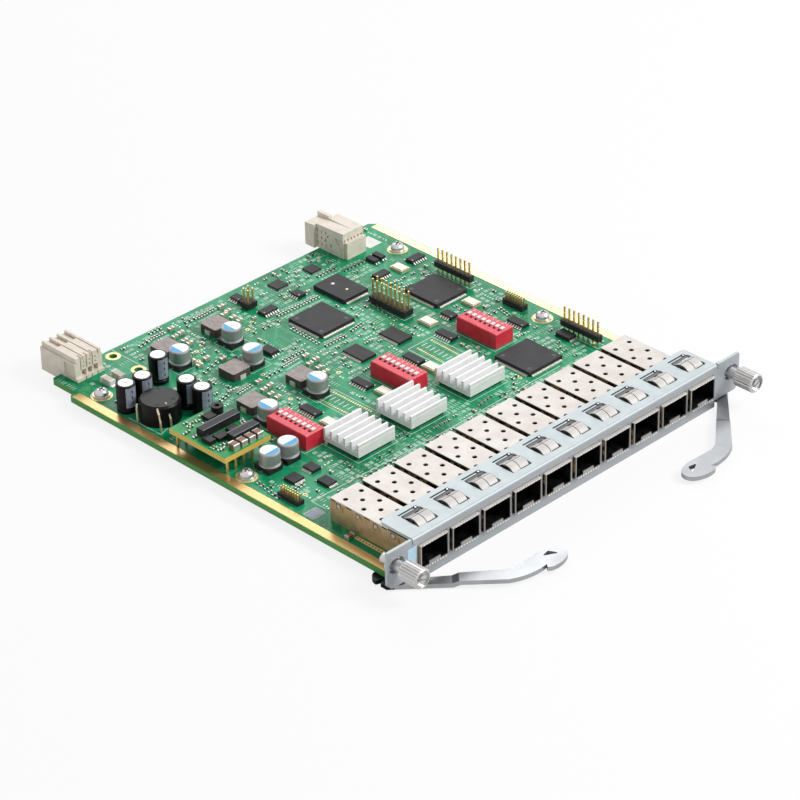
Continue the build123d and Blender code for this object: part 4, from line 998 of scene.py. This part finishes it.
# %% Rings and dots
test_spots = [
    (87.9, 167.9), (92.9, 170.7), (67.1, 172.2), (62.3, 169.9), (57.9, 163.9), (68.4, 137.9),
    (63.3, 116.8), (89.8, 117.6), (147.8, 167.2), (135.6, 63.4), (174.9, 60.8), (20.8, 64.1),
]
dot_spots = [(135.7, 187.8), (131.6, 114.9), (99.8, 129.3), (125.2, 178.5), (99.1, 162.0), (173.3, 124.0)]
piece(
    "hole_rings", pad_gold, "gold_plating",
    ring_shapes(screw_spots, 3.3, 4.4, *up(0.04), 36),
    ring_shapes(hole_spots, 1.72, 3.1, *up(0.04), 36),
    ring_shapes(test_spots, 0.4, 0.95, *up(0.05), 20),
)
piece("test_pad_holes", hole_dark, "solder_mask", discs(test_spots, 0.39, *up(0.03)))
piece("placing_dots", label_white, "solder_mask", discs(dot_spots, 0.7, *up(0.04)))
piece("filled_hole", resin_green, "solder_mask", discs([(13.7, 180.1)], 1.9, *up(0.03), 24))

# %% [markdown]
# A low can capacitor has a bright top with a coloured segment over its negative
# foot, and two solder tabs under its base. The tall ones stand in a sleeve whose
# top is open, with the scored aluminium vent showing and a grey stripe down the
# negative side.

# %% Tops of the capacitors
facing_deg = np.array([180.0, 180.0, 270.0, 180.0, 180.0, 270.0, 270.0])


def segments(centres, degrees, radius, share, low, high, corners=14):
    """The cap of a circle beyond share of its radius, towards each direction: the
    arc's points and the chord between its ends, as one flat closed plate."""
    half = np.arccos(share)
    angle = np.radians(np.array(degrees))[:, None] - np.linspace(-half, half, corners)[None]
    rim = np.stack([np.cos(angle), np.sin(angle)], axis=-1) * radius + np.array(centres)[:, None]
    rings = np.zeros((len(rim), 2, corners, 3))
    rings[..., :2] = rim[:, None]
    rings[:, 0, :, 2], rings[:, 1, :, 2] = low, high
    return skin(rings)


piece("can_tops", can_white, "can_aluminium", discs(cans, 3.55, *up(0.03, CAN_TOP), 36))
piece(
    "can_segments", segment_blue, "can_aluminium",
    segments(cans, facing_deg, 3.5, 0.28, CAN_TOP + 0.03, CAN_TOP + 0.06),
)
piece(
    "can_necks", can_white, "can_aluminium",
    ring_shapes(cans, 3.6, 3.75, BOARD_TOP + 2.55, BOARD_TOP + 3.05, 36),
    ring_shapes(cans, 3.9, 4.2, BOARD_TOP + 2.0, BOARD_TOP + 2.35, 36),
)
can_feet = [(x + side * 4.2, y, 1.0, 0.9, *up(0.3)) for x, y in cans for side in (-1, 1)]
piece("can_feet", solder, "tinned_pins", blocks(can_feet))

piece("tall_tops", solder, "capacitor_sleeve", discs(talls, 2.95, *up(0.05, TALL_TOP), 36))
arms = [np.array(arm) for arm in ((2.4, 0.0), (0.0, 2.4))]
score = [bars(talls - arm, talls + arm, 0.22, *up(0.03, TALL_TOP + 0.05)) for arm in arms]
piece("tall_top_scores", grey_print_and_highlight, "capacitor_sleeve", *score)


def side_patches(centres, radius, from_deg, to_deg, low, high, steps=9, thick=0.04):
    """A curved patch on a round wall: the arc between two bearings, as a thin shell
    between two radii and two heights."""
    angle = np.radians(np.linspace(to_deg, from_deg, steps))
    circle = np.stack([np.cos(angle), np.sin(angle)], axis=1)
    rings = np.zeros((len(centres), steps, 4, 3))
    for corner, (r, z) in enumerate(((radius, low), (radius, high), (radius + thick, high), (radius + thick, low))):
        rings[:, :, corner, :2] = np.array(centres)[:, None] + r * circle[None]
        rings[:, :, corner, 2] = z
    return skin(rings)


piece(
    "tall_stripes", grey_print_and_highlight, "capacitor_sleeve",
    side_patches(talls, 3.9, 228, 300, BOARD_TOP + 2.9, TALL_TOP - 0.6, 14),
)
dashes = [side_patches(talls, 3.94, 264, 271, BOARD_TOP + z, BOARD_TOP + z + 1.2, 4) for z in (4.0, 6.6, 9.2)]
piece("tall_stripe_dashes", part_black, "capacitor_sleeve", *dashes)

# %% [markdown]
# The choke is a wound ring in a black cup. Its enamelled ends come over the side
# and down to the board. Each wire is a short round section carried along a few
# points: out of the cup, over its edge and down.

# %% Wires of the choke
def wire(points, radius, corners=8):
    """A round section of the given radius carried along a path of points: at each
    point, two directions across the path span the circle."""
    points = np.array(points, dtype=float)
    run = np.gradient(points, axis=0)
    run /= np.linalg.norm(run, axis=1, keepdims=True)
    level = np.array([0.31, 0.27, 0.91])
    first = np.cross(run, level)
    first /= np.linalg.norm(first, axis=1, keepdims=True)
    second = np.cross(run, first)
    angle = -2 * np.pi * np.arange(corners) / corners
    rings = points[:, None] + radius * (
        np.cos(angle)[None, :, None] * first[:, None] + np.sin(angle)[None, :, None] * second[:, None]
    )
    return skin(rings[None])


piece(
    "choke_wires", copper_wire, "choke_sleeve",
    wire([(11.6, 147.0, 13.0), (11.3, 146.8, 11.0), (11.2, 146.6, 8.0), (11.2, 146.5, 5.0)], 0.45),
    wire([(18.6, 138.4, 14.2), (18.0, 136.6, 13.0), (17.8, 134.9, 9.0), (17.8, 134.6, 5.0)], 0.45),
    wire([(14.0, 138.0, 13.6), (13.2, 136.2, 12.0), (13.0, 135.2, 9.0), (13.0, 135.0, 5.0)], 0.45),
    wire([(28.6, 142.6, 12.0), (29.6, 142.4, 10.0), (30.0, 142.3, 7.0), (30.1, 142.3, 5.0)], 0.4),
)
piece(
    "choke_top_dots", hole_dark, "choke_sleeve",
    discs([(23.9, 148.4), (16.2, 148.9), (22.9, 138.8), (15.4, 139.6)], 0.8, 13.9, 14.05, 16),
)

# %% [markdown]
# Power inductors have broad tinned tabs that wrap up two sides. The tabs are only
# a skin over the model's own, so they stay a tenth of a millimetre proud.

# %% Tabs of the inductors
tabs = [(x + side * 4.9, y, 0.5, 2.8, *up(1.85)) for x, y in inductors_x for side in (-1, 1)]
tabs += [(inductor_y[0], inductor_y[1] + side * 4.9, 2.8, 0.5, *up(1.85)) for side in (-1, 1)]
piece("inductor_tabs", cream_lead, "tinned_pins", blocks(tabs))

# %% [markdown]
# Each switch has eight wells in a red body. Generic numbers 1 to 8 stand beside
# them, in white. A digit is drawn with the seven strokes of a calculator's display,
# which keeps each to a few small bars.

# %% Wells and numbers of the switches
ways = (np.arange(8) - 3.5) * 2.54
wells = [(x, y + w, 3.66, 1.56, SWITCH_TOP - 1.7, SWITCH_TOP - 1.64) for x, y in switches for w in ways]
piece("switch_well_floors", red_dark, "switch_red", blocks(wells))

strokes_of = {
    "a": ((0, 2), (1, 2)), "b": ((1, 1), (1, 2)), "c": ((1, 0), (1, 1)), "d": ((0, 0), (1, 0)),
    "e": ((0, 0), (0, 1)), "f": ((0, 1), (0, 2)), "g": ((0, 1), (1, 1)),
}
digits = ["bc", "abged", "abgcd", "fgbc", "afgcd", "afgedc", "abc", "abcdefg"]


def digit_bars(centre, letters, size, low, high):
    """A digit's strokes on a grid of 1 by 2 units, read from the +X side."""
    ends = np.array([strokes_of[letter] for letter in letters], dtype=float)
    local = (ends - [0.5, 1.0]) * size
    turned_ends = np.stack([-local[..., 1], local[..., 0]], axis=-1)
    place = turned_ends + np.array(centre)
    return bars(place[:, 0], place[:, 1], 0.16, low, high)


numbers = [
    digit_bars((x + 3.6, y + w), letters, 0.62, *up(0.03, SWITCH_TOP))
    for x, y in switches
    for w, letters in zip(ways, digits)
]
piece("switch_numbers", label_white, "slider_white", *numbers)

# %% [markdown]
# The converter module carries its own small parts: ceramic capacitors with bright
# ends, and tiny ones along its edges.

# %% Small parts of the converter
ceramic_x = [MODULE[0] - 4.2 + 4.0 * i for i in range(4)]
ceramic_y = MODULE[1] - 12.5
browns = [(x, ceramic_y, 2.86, 2.3, *up(2.25, MODULE_TOP)) for x in ceramic_x]
caps = [(x, ceramic_y + s * 1.55, 2.84, 0.62, *up(2.24, MODULE_TOP)) for x in ceramic_x for s in (-1, 1)]
piece("module_capacitor_bodies", part_brown, "module_parts", blocks(browns))
piece("module_capacitor_ends", solder, "tinned_pins", blocks(caps))
# Painted highlights: thin grey lines along both long top edges of each black core.
cores = [(1.7, 2.6, 18.6, 3.9, 3.4), (4.5, -8.2, 13.2, 3.9, 3.2)]
painted_core_highlights = []
for dx, dy, width, length, height in cores:
    x, y, top = MODULE[0] + dx, MODULE[1] + dy, MODULE_TOP + height
    painted_core_highlights += [(x, y + s * (length / 2 - 0.15), width, 0.22, top, top + 0.02) for s in (-1, 1)]
piece("core_painted_highlights", grey_print_and_highlight, "ferrite_black", blocks(painted_core_highlights))
tiny = draw.uniform((-10.6, -13.6), (10.6, 13.6), (90, 2))
module_taken = np.array(
    [
        (1.7, 2.6, 20.0, 5.2), (4.5, -8.2, 14.4, 5.2), (-2.8, -3.7, 6.4, 5.4), (-7.8, -2.5, 4.2, 6.4),
        (4.0, -2.8, 5.6, 4.4), (3.4, 9.5, 5.6, 5.6), (8.8, 11.1, 6.0, 6.0), (1.8, -12.5, 16.0, 5.2),
    ]
)
tiny = tiny[free(tiny, (0.4, 0.4), module_taken)]
tiny_rows = np.hstack([tiny + MODULE, np.tile([1.5, 0.75, *up(0.5, MODULE_TOP)], (len(tiny), 1))])
piece("module_resistors", part_black, "module_parts", blocks(tiny_rows))
tiny_ends = np.vstack([tiny_rows + [s * 0.75, 0, -1.15, 0.05, 0, 0.04] for s in (-1, 1)])
piece("module_resistor_ends", solder, "tinned_pins", blocks(tiny_ends))

# %% [markdown]
# The cages are folded from thin sheet. Their covers hold on by square tabs that
# look out at the sides, springs press between neighbours, and each port has bright
# spring fingers round its mouth.

# %% Cages and ports
cage_lefts = PORT_START + PORT_PITCH * np.arange(10)


def in_cages(*rows):
    """Boxes in every cage, from rows of x off its left side, y, width, length, low, high."""
    return blocks([(left + off, *rest) for left in cage_lefts for off, *rest in rows])


tab_y = (12.8, 21.6, 30.6, 40.6)
tabs = [(off, y, 0.12, 1.7, 11.9, 13.6) for off in (-0.06, 14.06) for y in tab_y]
piece("cover_tabs", solder, "cover_steel", in_cages(*tabs))
slits = [(off, y, 0.08, 2.6, 14.0, 14.5) for off in (-0.03, 14.03) for y in (17.2, 26.0, 35.4, 43.6)]
slits += [(off, y, 0.08, 2.4, 11.6, 13.9) for off in (-0.01, 14.01) for y in tab_y]
piece("cage_slits", hole_dark, "cage_steel", in_cages(*slits))
fingers = [(1.6 + 1.35 * i, -1.42, 0.75, 0.1, z, z + 0.55) for i in range(9) for z in (4.75, 14.5)]
piece("port_fingers", spring_white, "spring_steel", in_cages(*fingers))
# Painted shade: thin near-black sheets lie on the flange round each spring's window, where the gaps are in shade.
window_shade_bars = [
    (8.6, 14.5, 8.4, 0.75), (12.6, 14.15, 2.2, 1.3), (9.4, 13.25, 9.4, 0.4),
    (4.75, 8.6, 0.6, 8.6), (11.4, 4.0, 5.2, 0.45),
]
piece("window_painted_shade", gap_black, "host_plastic", in_cages(*[(*gap, *up(0.02, FLANGE_TOP)) for gap in window_shade_bars]))
rivets = discs([(left + 12.8, 14.15) for left in cage_lefts], 0.42, *up(0.03, FLANGE_TOP + 0.02), 12)
piece("window_rivets", spring_white, "spring_steel", rivets)
piece("front_ground_pad", pad_gold, "gold_plating", bars([(14.0, 30.5)], [(14.0, 14.5)], 1.9, *up(0.04)))
pad_dots = row((14.0, 29.6), (14.0, 15.4), 10)
piece("front_ground_pad_dots", hole_dark, "solder_mask", discs(pad_dots, 0.3, BOARD_TOP + 0.04, BOARD_TOP + 0.06, 10))

# %% [markdown]
# Plain paper labels: a pale blue one on the faceplate, a white one near the rear
# connector and a small grey one near the front. A capacitor and two ceramic blocks
# with metal ends stand by themselves near the board's left side.

# %% Labels
piece("faceplate_label", label_blue, "faceplate_steel", blocks([(12.55, -0.02, 4.5, 0.05, 8.0, 15.4)]))
piece("board_label", label_white, "solder_mask", blocks([(171.9, 184.0, 7.0, 8.0, *up(0.06))]))
piece("frame_label", grey_print_and_highlight, "solder_mask", blocks([(14.5, 52.5, 5.6, 4.6, *up(0.03))]))
body, ends = two_ended([(12.4, 32.0, 0)], (3.4, 1.9), 1.3)
piece("edge_capacitor", part_brown, "chip_epoxy", blocks(body))
piece("edge_capacitor_ends", solder, "tinned_pins", blocks(ends))
corners = [(x, y, 2.7, 5.7, *up(2.44)) for x, y in corner_blocks]
piece("corner_blocks", corner_beige, "chip_epoxy", blocks(corners))
corner_ends = [(x, y + s * 2.5, 2.8, 0.9, *up(2.48)) for x, y in corner_blocks for s in (-1, 1)]
piece("corner_block_ends", label_white, "tinned_pins", blocks(corner_ends))
